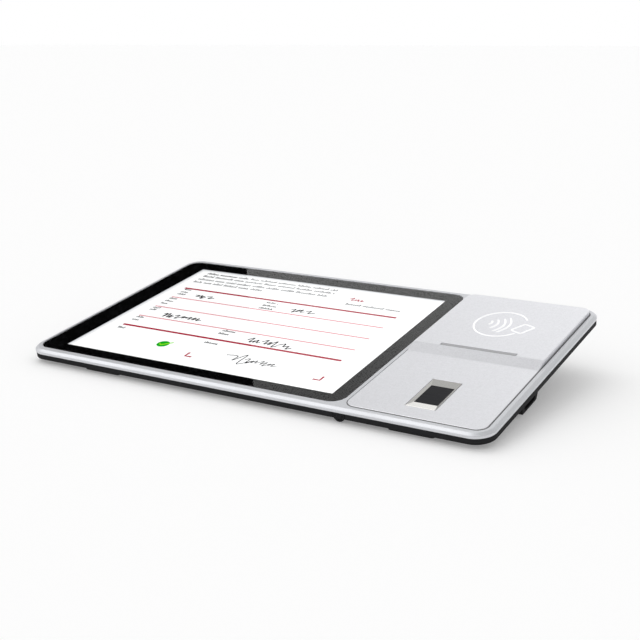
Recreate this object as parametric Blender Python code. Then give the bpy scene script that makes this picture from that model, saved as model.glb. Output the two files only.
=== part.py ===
"""Counter signature pad: a tilted slab with a display, a control panel and a rear flip stand.

The pad is drawn in its own frame, which the device empty then tilts on the table. In that frame X runs
to the right, Y from the front edge to the back, and Z is the height above the glass, so that everything
inside the pad lies below zero. Lengths are in metres.
"""

import math

import bmesh
import bpy
from mathutils import Matrix, Vector

# Body, seen from above
BODY_WIDTH = 0.3382
BODY_DEPTH = 0.1892
BODY_RADIUS = 0.0125
RIM_SIDE = 0.0037
RIM_FRONT = 0.006
RIM_BACK = 0.0047
MULLION = 0.0029
TILT = math.radians(9.36)

# Clearances and the one overrun of every cut
SEAT_GAP = 0.0003
FILM_GAP = 0.0002
OVERRUN = 0.001

# Frame that carries the glass and the panel
FRAME_HEIGHT = 0.0032
FRAME_SLOPE_RUN = 0.00185
FRAME_SLOPE_DROP = 0.0015
FRAME_EDGE = 0.0002
FRAME_FOOT_RUN = 0.0002
FRAME_FOOT_RISE = 0.0004
FRAME_WALL = 0.0022
LEDGE_WIDTH = 0.002
LEDGE_THICK = 0.0014

# Display stack, from the glass down
GLASS_WIDTH = 0.2396
GLASS_RADIUS = 0.009
GLASS_THICK = 0.0007
GLASS_EDGE = 0.0002
MASK_THICK = 0.0002
WINDOW_LEFT = 0.0176
WINDOW_RIGHT = 0.0107
WINDOW_FRONT = 0.0104
WINDOW_BACK = 0.0122
WINDOW_RADIUS = 0.0006
CELL_BORDER = 0.003
CELL_THICK = 0.001
CELL_RADIUS = 0.0008
TRAY_THICK = 0.0012
TRAY_RADIUS = 0.0016
PEN_BOARD_THICK = 0.0004
PEN_BOARD_MARGIN = 0.002
CHASSIS_THICK = 0.0005
CHASSIS_INSET = 0.0104
CHASSIS_RADIUS = 0.003

# Black base tray
BASE_INSET = 0.0003
BASE_WALL = 0.0018
BASE_FLOOR = 0.0013
BASE_EDGE = 0.0004

# Screw posts that join the frame and the base
POST_RADIUS = 0.0022
POST_X_SHARES = (-0.46, -0.16, 0.16, 0.46)
BOSS_RADIUS = 0.004
BOSS_RISE = 0.001
PILOT_RADIUS = 0.0014
PILOT_ROOF = 0.0006
SCREW_HEAD_RADIUS = 0.0024
SCREW_HEAD_HEIGHT = 0.0011
SCREW_SHANK_RADIUS = 0.0011
SCREW_SOCKET_RADIUS = 0.0012
SCREW_SOCKET_DEPTH = 0.0006

# Control panel
PANEL_RIM_SIDE = 0.005
PANEL_RIM_FRONT = 0.0057
PANEL_RIM_BACK = 0.0057
PANEL_GROOVE = 0.0008
PANEL_RADIUS = 0.0065
PANEL_THICK = 0.0016
PANEL_WALL = 0.0025
PANEL_EDGE = 0.0004
RAISE_HEIGHT = 0.0026
RAMP_START = 0.0812
RAMP_LENGTH = 0.0087
HOLLOW_SETBACK = 0.0002

# Light bar at the top of the ramp
LIGHT_BAR_SHARE = 0.575
LIGHT_BAR_DEPTH = 0.003
LIGHT_BAR_HEIGHT = 0.0024
LIGHT_BAR_SETBACK = 0.0009
LIGHT_BOARD_SHARE = 0.62
LIGHT_BOARD_DEPTH = 0.0036
LIGHT_BOARD_THICK = 0.0008

# Fingerprint reader
FINGER_WIDTH = 0.0196
FINGER_DEPTH = 0.0365
FINGER_SETBACK = 0.0123
FINGER_DROP = 0.0012
FINGER_SIDE_SLOPE = 0.0027
FINGER_END_SLOPE = 0.0067
FINGER_FRAME_HEIGHT = 0.003
FINGER_WINDOW_THICK = 0.0015
FINGER_WINDOW_SINK = 0.0002
FINGER_MODULE_HEIGHT = 0.002
FINGER_MODULE_INSET = 0.0008

# Boards
ANTENNA_THICK = 0.0008
ANTENNA_INSET = 0.008
ANTENNA_GAP = 0.003
BOARD_THICK = 0.001
BOARD_SIDE_INSET = 0.0055
BOARD_FRONT_SETBACK = 0.0626
BOARD_BACK_INSET = 0.011
BOARD_RADIUS = 0.0015
BOARD_LIFT = 0.0007
BOARD_POST_INSET = 0.004
BOARD_POST_RADIUS = 0.002
BOARD_HOLE_RADIUS = 0.0012
BOARD_SCREW_SHANK = 0.0009
CHIP_HEIGHT = 0.0011
CHIP_SIDE_SHARE = 0.145
CHIP_SHARES = ((0.3, 0.16), (0.7, 0.2), (0.14, 0.8), (0.86, 0.82))
SHIELD_HEIGHT = 0.0013
SHIELD_WIDTH_SHARE = 0.5
SHIELD_DEPTH = 0.027
SHIELD_SETBACK = 0.0006
SHIELD_RADIUS = 0.001
RIBBON_THICK = 0.0002
RIBBON_SHARE = 0.09
DISPLAY_RIBBON_WIDTH = 0.012
RIBBON_LAP = 0.0035

# Microphone in the front face
MIC_PLACE_SHARE = 0.227
MIC_RADIUS = 0.0039
MIC_RISE = 0.002
MIC_PROUD = 0.0002
MIC_LENGTH = 0.006
MIC_FACE = 0.0009
MIC_WALL = 0.0008
MIC_HOLE_RADIUS = 0.00045
MIC_HOLE_RING = 0.0024
MIC_RING_HOLES = 5
MIC_CAPSULE_RADIUS = 0.0015
MIC_CAPSULE_LENGTH = 0.0025

# Front feet, whose soles lie flat on the table
FOOT_FRONT = 0.0038
FOOT_HEIGHT = 0.0026
FOOT_WIDTH = 0.0288
FOOT_DEPTH = 0.011
FOOT_RADIUS = 0.0018
FOOT_FROM_LEFT = 0.0475
FOOT_FROM_RIGHT = 0.0343

# Port housing below the base
PORT_FROM_RIGHT = 0.0052
PORT_FRONT = 0.0609
PORT_WIDTH = 0.114
PORT_HEIGHT = 0.0102
PORT_SOLE = 0.0218
PORT_SLOPE = 0.0072
PORT_WALL = 0.0015
PORT_WELL_DEPTH = 0.0052
PORT_WELL_WALL = 0.0012
PORT_WELL_FRONT = 0.0035
PORT_WELL_LENGTH = 0.0162
PORT_WELL_HEIGHT = 0.0054
PORT_WELL_RISE = 0.0013
PORT_BOARD_THICK = 0.0008
PORT_BOARD_WIDTH = 0.07
PORT_BOARD_DEPTH = 0.0165
SOCKET_WIDTH = 0.0089
SOCKET_HEIGHT = 0.0032
SOCKET_LENGTH = 0.0075
SOCKET_WALL = 0.0003
SOCKET_RADIUS = 0.0014
SOCKET_MOUTH_SHARE = 0.75
SOCKET_TONGUE_SHARE = 0.22
SOCKET_TONGUE_WIDTH_SHARE = 0.72
PORT_POST_RADIUS = 0.0033
PORT_POST_INSET = 0.0052
PORT_HEAD_RADIUS = 0.0019
PORT_SHANK_RADIUS = 0.0009
PORT_COUNTERBORE = 0.0042

# Flip stand at the rear
HINGE_FROM_BACK = 0.0332
HINGE_DROP = 0.0043
HINGE_SPREAD = 0.14
STAND_LEAN = math.radians(5.0)
STAND_WIDTH = 0.2
STAND_THICK = 0.0024
STAND_TOP = 0.0032
STAND_RADIUS = 0.004
STAND_EDGE = 0.0005
KNUCKLE_WIDTH = 0.012
KNUCKLE_RADIUS = 0.0024
PIN_RADIUS = 0.0012
PIN_CLEARANCE = 0.0001
PIN_END = 0.0004
EYE_END = math.radians(315)
EYE_STEPS = 9
SHOE_GRIP = 0.004
SHOE_WALL = 0.0014
SHOE_END = 0.002
SHOE_SOLE = 0.0023
BRACKET_PLATE = 0.0012
BRACKET_FRONT = 0.004
BRACKET_BACK = 0.0105
BRACKET_MARGIN = 0.0006
EAR_THICK = 0.0025
EAR_RADIUS = 0.0028
STOP_THICK = 0.0015
STOP_LENGTH = 0.0015
BRACKET_SCREW_BACK = 0.0074
BRACKET_SCREW_SPREAD = 0.0056
BRACKET_HEAD_RADIUS = 0.0018
BRACKET_HEAD_HEIGHT = 0.0008
BRACKET_SHANK_RADIUS = 0.0009

# Blank rating plate on the underside
RATING_WIDTH = 0.06
RATING_DEPTH = 0.03
RATING_THICK = 0.0003
RATING_FRONT = 0.0723
RATING_FROM_LEFT = 0.09
RATING_RADIUS = 0.002

# Facets
CORNER_STEPS = 8
SMALL_CORNER_STEPS = 4
BOLT_SIDES = 16
PIN_SIDES = 24
BIG_SIDES = 32
SMOOTH_ANGLE = math.radians(30)

# Places worked out from the sizes above
BODY_LEFT = -BODY_WIDTH / 2
BODY_RIGHT = BODY_WIDTH / 2
GLASS_LEFT = BODY_LEFT + RIM_SIDE
GLASS_RIGHT = GLASS_LEFT + GLASS_WIDTH
PANEL_LEFT = GLASS_RIGHT + MULLION
PANEL_RIGHT = BODY_RIGHT - PANEL_RIM_SIDE
PANEL_FRONT = PANEL_RIM_FRONT
PANEL_BACK = BODY_DEPTH - PANEL_RIM_BACK
PANEL_MIDDLE = (PANEL_LEFT + PANEL_RIGHT) / 2
PANEL_WIDTH = PANEL_RIGHT - PANEL_LEFT

MASK_TOP = -GLASS_THICK - FILM_GAP
MASK_UNDER = MASK_TOP - MASK_THICK
LEDGE_TOP = MASK_UNDER - FILM_GAP
LEDGE_UNDER = LEDGE_TOP - LEDGE_THICK
CELL_TOP = MASK_UNDER - SEAT_GAP
TRAY_TOP = CELL_TOP - CELL_THICK - SEAT_GAP
PEN_BOARD_TOP = TRAY_TOP - TRAY_THICK - SEAT_GAP
CHASSIS_TOP = PEN_BOARD_TOP - PEN_BOARD_THICK - SEAT_GAP
FLOOR_TOP = CHASSIS_TOP - CHASSIS_THICK - SEAT_GAP
BASE_UNDER = FLOOR_TOP - BASE_FLOOR
BOSS_TOP = FLOOR_TOP + BOSS_RISE
POST_UNDER = BOSS_TOP + SEAT_GAP
POST_INSET = BASE_INSET + BASE_WALL + SEAT_GAP + POST_RADIUS
POST_TOP = LEDGE_UNDER + LEDGE_THICK / 2
BOARD_UNDER = FLOOR_TOP + BOARD_LIFT + SEAT_GAP
BOARD_TOP = BOARD_UNDER + BOARD_THICK
SCREW_RECESS = SCREW_HEAD_HEIGHT + SEAT_GAP

RAMP_FOOT = PANEL_FRONT + RAMP_START
RAMP_HEAD = RAMP_FOOT + RAMP_LENGTH
HOLLOW_ROOF = RAISE_HEIGHT - PANEL_THICK
HOLLOW_FRONT = RAMP_HEAD + HOLLOW_SETBACK
LIGHT_BAR_FRONT = RAMP_HEAD + LIGHT_BAR_SETBACK
LIGHT_BAR_BACK = LIGHT_BAR_FRONT + LIGHT_BAR_DEPTH
LIGHT_BAR_UNDER = RAISE_HEIGHT - LIGHT_BAR_HEIGHT
LIGHT_BAR_WIDTH = PANEL_WIDTH * LIGHT_BAR_SHARE
LIGHT_BOARD_FRONT = HOLLOW_FRONT + SEAT_GAP
LIGHT_BOARD_BACK = LIGHT_BOARD_FRONT + LIGHT_BOARD_DEPTH
ANTENNA_FRONT = LIGHT_BOARD_BACK + ANTENNA_GAP
ANTENNA_TOP = HOLLOW_ROOF - SEAT_GAP
ANTENNA_UNDER = ANTENNA_TOP - ANTENNA_THICK

RIBBON_WIDTH = PANEL_WIDTH * RIBBON_SHARE
PORT_RIBBON_LEFT = PANEL_MIDDLE + SEAT_GAP
FINGER_RIBBON_LEFT = PANEL_MIDDLE - SEAT_GAP - RIBBON_WIDTH
ANTENNA_RIBBON_FRONT = ANTENNA_FRONT - SEAT_GAP - RIBBON_THICK
ANTENNA_RIBBON_END = ANTENNA_RIBBON_FRONT + RIBBON_LAP

FINGER_FRONT = PANEL_FRONT + FINGER_SETBACK
FINGER_BACK = FINGER_FRONT + FINGER_DEPTH
MODULE_TOP = -FINGER_FRAME_HEIGHT - SEAT_GAP
MODULE_UNDER = MODULE_TOP - FINGER_MODULE_HEIGHT

MIC_X = BODY_WIDTH * MIC_PLACE_SHARE
MIC_HEIGHT = BASE_UNDER + MIC_RISE
MIC_FRONT = BASE_INSET - MIC_PROUD
MIC_BACK = MIC_FRONT + MIC_LENGTH
MIC_ROOF = -FRAME_HEIGHT - SEAT_GAP

HUNG_TOP = BASE_UNDER - SEAT_GAP
PORT_RIGHT = BODY_RIGHT - PORT_FROM_RIGHT
PORT_LEFT = PORT_RIGHT - PORT_WIDTH
PORT_UNDER = BASE_UNDER - PORT_HEIGHT
PORT_FLOOR = PORT_UNDER + PORT_WALL
PORT_SOLE_BACK = PORT_FRONT + PORT_SOLE
PORT_TOP_BACK = PORT_SOLE_BACK + PORT_SLOPE
WELL_BOTTOM = PORT_RIGHT - PORT_WELL_DEPTH
WELL_FRONT = PORT_FRONT + PORT_WELL_FRONT
WELL_BACK = WELL_FRONT + PORT_WELL_LENGTH
WELL_UNDER = PORT_UNDER + PORT_WELL_RISE
WELL_TOP = WELL_UNDER + PORT_WELL_HEIGHT
SOCKET_Y = (WELL_FRONT + WELL_BACK) / 2
PORT_BOARD_UNDER = PORT_FLOOR + SEAT_GAP
PORT_BOARD_TOP = PORT_BOARD_UNDER + PORT_BOARD_THICK
SOCKET_UNDER = PORT_BOARD_TOP + SEAT_GAP
SOCKET_TOP = SOCKET_UNDER + SOCKET_HEIGHT

HINGE_Y = BODY_DEPTH - HINGE_FROM_BACK
HINGE_HEIGHT = BASE_UNDER - HINGE_DROP
FLANGE_UNDER = HUNG_TOP - BRACKET_PLATE
EAR_INNER = KNUCKLE_WIDTH / 2 + SEAT_GAP
EAR_OUTER = EAR_INNER + EAR_THICK

FOOT_UNDER = HUNG_TOP - FOOT_HEIGHT
FOOT_BACK = FOOT_FRONT + FOOT_DEPTH
DEVICE_LIFT = -(FOOT_FRONT * math.sin(TILT) + FOOT_UNDER * math.cos(TILT))


def table_height(y):
    """The table's height in the pad's own tilted frame, at this distance from the front."""
    return -(DEVICE_LIFT + y * math.sin(TILT)) / math.cos(TILT)


def clear_scene():
    for obj in list(bpy.data.objects):
        bpy.data.objects.remove(obj, do_unlink=True)


def make_material(name, colour, roughness, metallic=0.0):
    material = bpy.data.materials.new(name)
    material.use_nodes = True
    shader = material.node_tree.nodes["Principled BSDF"]
    shader.inputs["Base Color"].default_value = (*colour, 1.0)
    shader.inputs["Roughness"].default_value = roughness
    shader.inputs["Metallic"].default_value = metallic
    material.diffuse_color = (*colour, 1.0)
    return material


def new_object(name, bm, parent):
    """Turn a finished bmesh into an object whose faces point outwards."""
    bmesh.ops.recalc_face_normals(bm, faces=bm.faces)
    mesh = bpy.data.meshes.new(name)
    bm.to_mesh(mesh)
    bm.free()
    obj = bpy.data.objects.new(name, mesh)
    bpy.context.scene.collection.objects.link(obj)
    obj.parent = parent
    return obj


def finish(obj, material):
    """Give a piece its material, and shade it smooth up to its real edges."""
    obj.data.materials.append(material)
    obj.data.shade_smooth()
    obj.data.set_sharp_from_angle(angle=SMOOTH_ANGLE)
    return obj


def area(left, right, front, back, radius=0.0):
    """A rectangle with round corners, as one value that other helpers take."""
    return (left, right, front, back, radius)


def shrink(region, inset):
    left, right, front, back, radius = region
    return (left + inset, right - inset, front + inset, back - inset, max(radius - inset, 0.0))


def outline(region, steps):
    """Points round the rectangle, anticlockwise from its right front corner."""
    left, right, front, back, radius = region
    corners = (
        (right - radius, front + radius, -1),
        (right - radius, back - radius, 0),
        (left + radius, back - radius, 1),
        (left + radius, front + radius, 2),
    )
    points = []
    for x, y, quarter in corners:
        for step in range(steps + 1):
            turn = math.pi / 2 * (quarter + step / steps)
            points.append((x + radius * math.cos(turn), y + radius * math.sin(turn)))
            if radius == 0.0:
                break
    return points


def loft(bm, rings):
    """Join rings of points, each as long as the last, and cap both ends."""
    rows = [[bm.verts.new(point) for point in ring] for ring in rings]
    for lower, upper in zip(rows, rows[1:]):
        for i in range(len(lower)):
            j = (i + 1) % len(lower)
            bm.faces.new((lower[i], lower[j], upper[j], upper[i]))
    bm.faces.new(list(reversed(rows[0])))
    bm.faces.new(rows[-1])


def slab(name, parent, region, levels, steps=CORNER_STEPS):
    """A plate lofted through (inset, height) levels, from the bottom up."""
    bm = bmesh.new()
    rings = []
    for inset, height in levels:
        rings.append([(x, y, height) for x, y in outline(shrink(region, inset), steps)])
    loft(bm, rings)
    return new_object(name, bm, parent)


def upright(name, parent, region, levels, steps=SMALL_CORNER_STEPS):
    """As slab, for a plate that stands: its region is in X and Z, and its levels run along Y."""
    bm = bmesh.new()
    rings = []
    for inset, depth in levels:
        rings.append([(x, depth, z) for x, z in outline(shrink(region, inset), steps)])
    loft(bm, rings)
    return new_object(name, bm, parent)


def endways(name, parent, region, start, end, steps=SMALL_CORNER_STEPS):
    """A bar along X, whose region is in Y and Z."""
    bm = bmesh.new()
    points = outline(region, steps)
    loft(bm, [[(x, y, z) for y, z in points] for x in (start, end)])
    return new_object(name, bm, parent)


def extruded(name, parent, profile, *spans):
    """A profile of (y, z) points drawn out along X, once for each (start, end) span."""
    bm = bmesh.new()
    for span in spans:
        loft(bm, [[(x, y, z) for y, z in profile] for x in span])
    return new_object(name, bm, parent)


def block(name, parent, low, high):
    bm = bmesh.new()
    bmesh.ops.create_cube(bm, size=1)
    size = [b - a for a, b in zip(low, high)]
    middle = [(a + b) / 2 for a, b in zip(low, high)]
    bmesh.ops.transform(bm, matrix=Matrix.Translation(middle) @ Matrix.Diagonal((*size, 1)), verts=bm.verts)
    return new_object(name, bm, parent)


def circle(x, y, radius, sides):
    turns = [math.tau * i / sides for i in range(sides)]
    return [(x + radius * math.cos(turn), y + radius * math.sin(turn)) for turn in turns]


def turned(name, parent, places, profile, sides=BOLT_SIDES):
    """Turn (radius, height) points about an upright axis at each place, with flat ends."""
    bm = bmesh.new()
    for x, y in places:
        loft(bm, [[(a, b, height) for a, b in circle(x, y, radius, sides)] for radius, height in profile])
    return new_object(name, bm, parent)


def posts(name, parent, places, radius, low, high):
    return turned(name, parent, places, [(radius, low), (radius, high)])


def rods_along_x(name, parent, spans, y, z, radius, sides=PIN_SIDES):
    """Round bars along X, one for each (start, end) span."""
    bm = bmesh.new()
    for span in spans:
        loft(bm, [[(x, a, b) for a, b in circle(y, z, radius, sides)] for x in span])
    return new_object(name, bm, parent)


def rods_along_y(name, parent, places, span, radius, sides=BIG_SIDES):
    """Round bars along Y, one at each (x, z) place."""
    bm = bmesh.new()
    for x, z in places:
        loft(bm, [[(a, y, b) for a, b in circle(x, z, radius, sides)] for y in span])
    return new_object(name, bm, parent)


def combine(piece, tool, operation):
    """Cut a tool from a piece, or join it on, and keep the tool out of the model."""
    modifier = piece.modifiers.new(operation.lower() + "_" + tool.name, "BOOLEAN")
    modifier.operation = operation
    modifier.object = tool
    tool.hide_render = True
    tool.display_type = "WIRE"


def cut(piece, tool):
    combine(piece, tool, "DIFFERENCE")


def join(piece, tool):
    combine(piece, tool, "UNION")


def body_area(inset=0.0):
    return shrink(area(BODY_LEFT, BODY_RIGHT, 0.0, BODY_DEPTH, BODY_RADIUS), inset)


def glass_area():
    return area(GLASS_LEFT, GLASS_RIGHT, RIM_FRONT, BODY_DEPTH - RIM_BACK, GLASS_RADIUS)


def panel_area():
    return area(PANEL_LEFT, PANEL_RIGHT, PANEL_FRONT, PANEL_BACK, PANEL_RADIUS)


def window_area(radius=WINDOW_RADIUS):
    left, right, front, back, _ = glass_area()
    return area(left + WINDOW_LEFT, right - WINDOW_RIGHT, front + WINDOW_FRONT, back - WINDOW_BACK, radius)


def cell_area(radius):
    left, right, front, back, _ = window_area()
    border = CELL_BORDER
    return area(left - border, right + border, front - border, back + border, radius)


def board_area():
    front = PANEL_FRONT + BOARD_FRONT_SETBACK
    back = PANEL_BACK - BOARD_BACK_INSET
    return area(PANEL_LEFT + BOARD_SIDE_INSET, PANEL_RIGHT - BOARD_SIDE_INSET, front, back, BOARD_RADIUS)


def antenna_area():
    left, right = PANEL_LEFT + ANTENNA_INSET, PANEL_RIGHT - ANTENNA_INSET
    return area(left, right, ANTENNA_FRONT, PANEL_BACK - ANTENNA_INSET, BOARD_RADIUS)


def frame_levels():
    """The frame's outer side from the bottom up: the lip, then the slope that ends at the flat top."""
    run, drop = FRAME_SLOPE_RUN, FRAME_SLOPE_DROP
    soft = FRAME_EDGE / drop
    return [
        (FRAME_FOOT_RUN, -FRAME_HEIGHT),
        (0.0, -FRAME_HEIGHT + FRAME_FOOT_RISE),
        (0.0, -drop - FRAME_EDGE),
        (run * soft, -drop + FRAME_EDGE),
        (run - run * soft, -FRAME_EDGE),
        (run + run * soft, 0.0),
    ]


def base_levels():
    return [
        (BASE_EDGE, BASE_UNDER),
        (0.0, BASE_UNDER + BASE_EDGE),
        (0.0, -FRAME_HEIGHT - SEAT_GAP),
    ]


def post_places():
    """The eight screw places, four along the front and four along the back."""
    rows = (POST_INSET, BODY_DEPTH - POST_INSET)
    return [(BODY_WIDTH * share, y) for y in rows for share in POST_X_SHARES]


def corner_places(region, inset):
    left, right, front, back, _ = region
    return [(x, y) for y in (front + inset, back - inset) for x in (left + inset, right - inset)]


def table_middle():
    """How far the device empty moves back, so that the world origin is below the body's middle."""
    reach = [(inset, height) for inset, height in frame_levels()]
    reach += [(inset + BASE_INSET, height) for inset, height in base_levels()]
    nearest = min(y * math.cos(TILT) - z * math.sin(TILT) for y, z in reach)
    farthest = max((BODY_DEPTH - y) * math.cos(TILT) - z * math.sin(TILT) for y, z in reach)
    return -(nearest + farthest) / 2


def make_top_frame(device, silver):
    frame = slab("top_frame", device, body_area(), frame_levels())
    glass_seat = [(0.0, LEDGE_TOP), (0.0, OVERRUN)]
    panel_seat = [(0.0, -PANEL_THICK - SEAT_GAP), (0.0, OVERRUN)]
    through = [(0.0, -FRAME_HEIGHT - OVERRUN), (0.0, OVERRUN)]
    relief = [(0.0, -FRAME_HEIGHT - OVERRUN), (0.0, LEDGE_UNDER)]
    glass_pocket = slab("glass_pocket", device, shrink(glass_area(), -SEAT_GAP), glass_seat)
    panel_pocket = slab("panel_pocket", device, shrink(panel_area(), -PANEL_GROOVE), panel_seat)
    display_opening = slab("display_opening", device, shrink(glass_area(), LEDGE_WIDTH), through)
    panel_opening = slab("panel_opening", device, shrink(panel_area(), LEDGE_WIDTH), through)
    underside = slab("frame_underside", device, body_area(FRAME_WALL), relief)
    for tool in (glass_pocket, panel_pocket, display_opening, panel_opening, underside):
        cut(frame, tool)
    join(frame, posts("frame_posts", device, post_places(), POST_RADIUS, POST_UNDER, POST_TOP))
    low, high = POST_UNDER - OVERRUN, POST_TOP - PILOT_ROOF
    cut(frame, posts("frame_pilots", device, post_places(), PILOT_RADIUS, low, high))
    return finish(frame, silver)


def make_display_stack(device, glass, ink, lit, steel, board_green):
    levels = [(0.0, -GLASS_THICK), (0.0, -GLASS_EDGE), (GLASS_EDGE, 0.0)]
    finish(slab("cover_glass", device, glass_area(), levels), glass)
    mask = slab("bezel_mask", device, glass_area(), [(0.0, MASK_UNDER), (0.0, MASK_TOP)])
    levels = [(0.0, MASK_UNDER - OVERRUN), (0.0, MASK_TOP + OVERRUN)]
    cut(mask, slab("mask_window", device, window_area(), levels, SMALL_CORNER_STEPS))
    finish(mask, ink)
    levels = [(0.0, CELL_TOP - CELL_THICK), (0.0, CELL_TOP)]
    cell = slab("display_panel", device, cell_area(CELL_RADIUS), levels, SMALL_CORNER_STEPS)
    finish(cell, lit)
    under, half_way = TRAY_TOP - TRAY_THICK, TRAY_TOP - TRAY_THICK / 2
    levels = [(TRAY_RADIUS / 2, under), (0.0, half_way), (0.0, TRAY_TOP)]
    tray = slab("backlight_tray", device, cell_area(TRAY_RADIUS), levels, SMALL_CORNER_STEPS)
    finish(tray, steel)
    pen_area = shrink(cell_area(TRAY_RADIUS), PEN_BOARD_MARGIN)
    levels = [(0.0, PEN_BOARD_TOP - PEN_BOARD_THICK), (0.0, PEN_BOARD_TOP)]
    finish(slab("pen_sensor_board", device, pen_area, levels, SMALL_CORNER_STEPS), board_green)


def make_chassis(device, steel):
    plate_area = area(
        BODY_LEFT + CHASSIS_INSET,
        PANEL_LEFT - SEAT_GAP,
        CHASSIS_INSET,
        BODY_DEPTH - CHASSIS_INSET,
        CHASSIS_RADIUS,
    )
    levels = [(0.0, CHASSIS_TOP - CHASSIS_THICK), (0.0, CHASSIS_TOP)]
    finish(slab("chassis_plate", device, plate_area, levels, SMALL_CORNER_STEPS), steel)


def make_base_shell(device, black):
    outer = body_area(BASE_INSET)
    base = slab("base_shell", device, outer, base_levels())
    high = OVERRUN - FRAME_HEIGHT
    cut(base, slab("base_hollow", device, shrink(outer, BASE_WALL), [(0.0, FLOOR_TOP), (0.0, high)]))
    sunk = BASE_UNDER + BASE_EDGE
    board_places = corner_places(board_area(), BOARD_POST_INSET)
    join(base, posts("base_bosses", device, post_places(), BOSS_RADIUS, sunk, BOSS_TOP))
    board_rest = FLOOR_TOP + BOARD_LIFT
    join(base, posts("board_posts", device, board_places, BOARD_POST_RADIUS, sunk, board_rest))
    recess = SCREW_HEAD_RADIUS + SEAT_GAP
    step = [
        (recess, BASE_UNDER - OVERRUN),
        (recess, BASE_UNDER + SCREW_RECESS),
        (PILOT_RADIUS, BASE_UNDER + SCREW_RECESS),
        (PILOT_RADIUS, BOSS_TOP + OVERRUN),
    ]
    cut(base, turned("base_bores", device, post_places(), step))
    cut(base, posts("board_pilots", device, board_places, BOARD_HOLE_RADIUS, sunk, board_rest + OVERRUN))
    through = (BASE_UNDER - OVERRUN, FLOOR_TOP + OVERRUN)
    hung_places = port_post_places() + bracket_screw_places()
    cut(base, posts("hung_pilots", device, hung_places, PILOT_RADIUS, *through))
    span = (-OVERRUN, MIC_BACK + SEAT_GAP)
    cut(base, rods_along_y("mic_seat", device, [(MIC_X, MIC_HEIGHT)], span, MIC_RADIUS + SEAT_GAP))
    front = port_ribbon_front()
    low = (PORT_RIBBON_LEFT - SEAT_GAP, front - SEAT_GAP, through[0])
    right = PORT_RIBBON_LEFT + RIBBON_WIDTH + SEAT_GAP
    high = (right, front + RIBBON_THICK + SEAT_GAP, through[1])
    cut(base, block("ribbon_opening", device, low, high))
    return finish(base, black)


def make_control_panel(device, silver_paint):
    panel = slab(
        "control_panel",
        device,
        panel_area(),
        [(0.0, -PANEL_THICK), (0.0, RAISE_HEIGHT - PANEL_EDGE), (PANEL_EDGE, RAISE_HEIGHT)],
    )
    above = RAISE_HEIGHT + OVERRUN
    ahead = PANEL_FRONT - OVERRUN
    ramp = [(ahead, 0.0), (RAMP_FOOT, 0.0), (RAMP_HEAD, RAISE_HEIGHT), (RAMP_HEAD, above), (ahead, above)]
    cut(panel, extruded("ramp_cut", device, ramp, (PANEL_LEFT - OVERRUN, PANEL_RIGHT + OVERRUN)))
    hollow = area(
        PANEL_LEFT + PANEL_WALL,
        PANEL_RIGHT - PANEL_WALL,
        HOLLOW_FRONT,
        PANEL_BACK - PANEL_WALL,
        PANEL_RADIUS - PANEL_WALL,
    )
    levels = [(0.0, -PANEL_THICK - OVERRUN), (0.0, HOLLOW_ROOF)]
    cut(panel, slab("panel_hollow", device, hollow, levels))
    half = LIGHT_BAR_WIDTH / 2 + SEAT_GAP
    low = (PANEL_MIDDLE - half, LIGHT_BAR_FRONT - SEAT_GAP, HOLLOW_ROOF - OVERRUN)
    high = (PANEL_MIDDLE + half, LIGHT_BAR_BACK + SEAT_GAP, above)
    cut(panel, block("light_slot", device, low, high))
    half = FINGER_WIDTH / 2 + SEAT_GAP
    low = (PANEL_MIDDLE - half, FINGER_FRONT - SEAT_GAP, -PANEL_THICK - OVERRUN)
    high = (PANEL_MIDDLE + half, FINGER_BACK + SEAT_GAP, OVERRUN)
    cut(panel, block("finger_opening", device, low, high))
    return finish(panel, silver_paint)


def make_light_bar(device, frosted, board_green):
    half = LIGHT_BAR_WIDTH / 2
    low = (PANEL_MIDDLE - half, LIGHT_BAR_FRONT, LIGHT_BAR_UNDER)
    high = (PANEL_MIDDLE + half, LIGHT_BAR_BACK, RAISE_HEIGHT)
    finish(block("light_bar", device, low, high), frosted)
    half = PANEL_WIDTH * LIGHT_BOARD_SHARE / 2
    top = LIGHT_BAR_UNDER - SEAT_GAP
    low = (PANEL_MIDDLE - half, LIGHT_BOARD_FRONT, top - LIGHT_BOARD_THICK)
    high = (PANEL_MIDDLE + half, LIGHT_BOARD_BACK, top)
    finish(block("light_bar_board", device, low, high), board_green)


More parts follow.
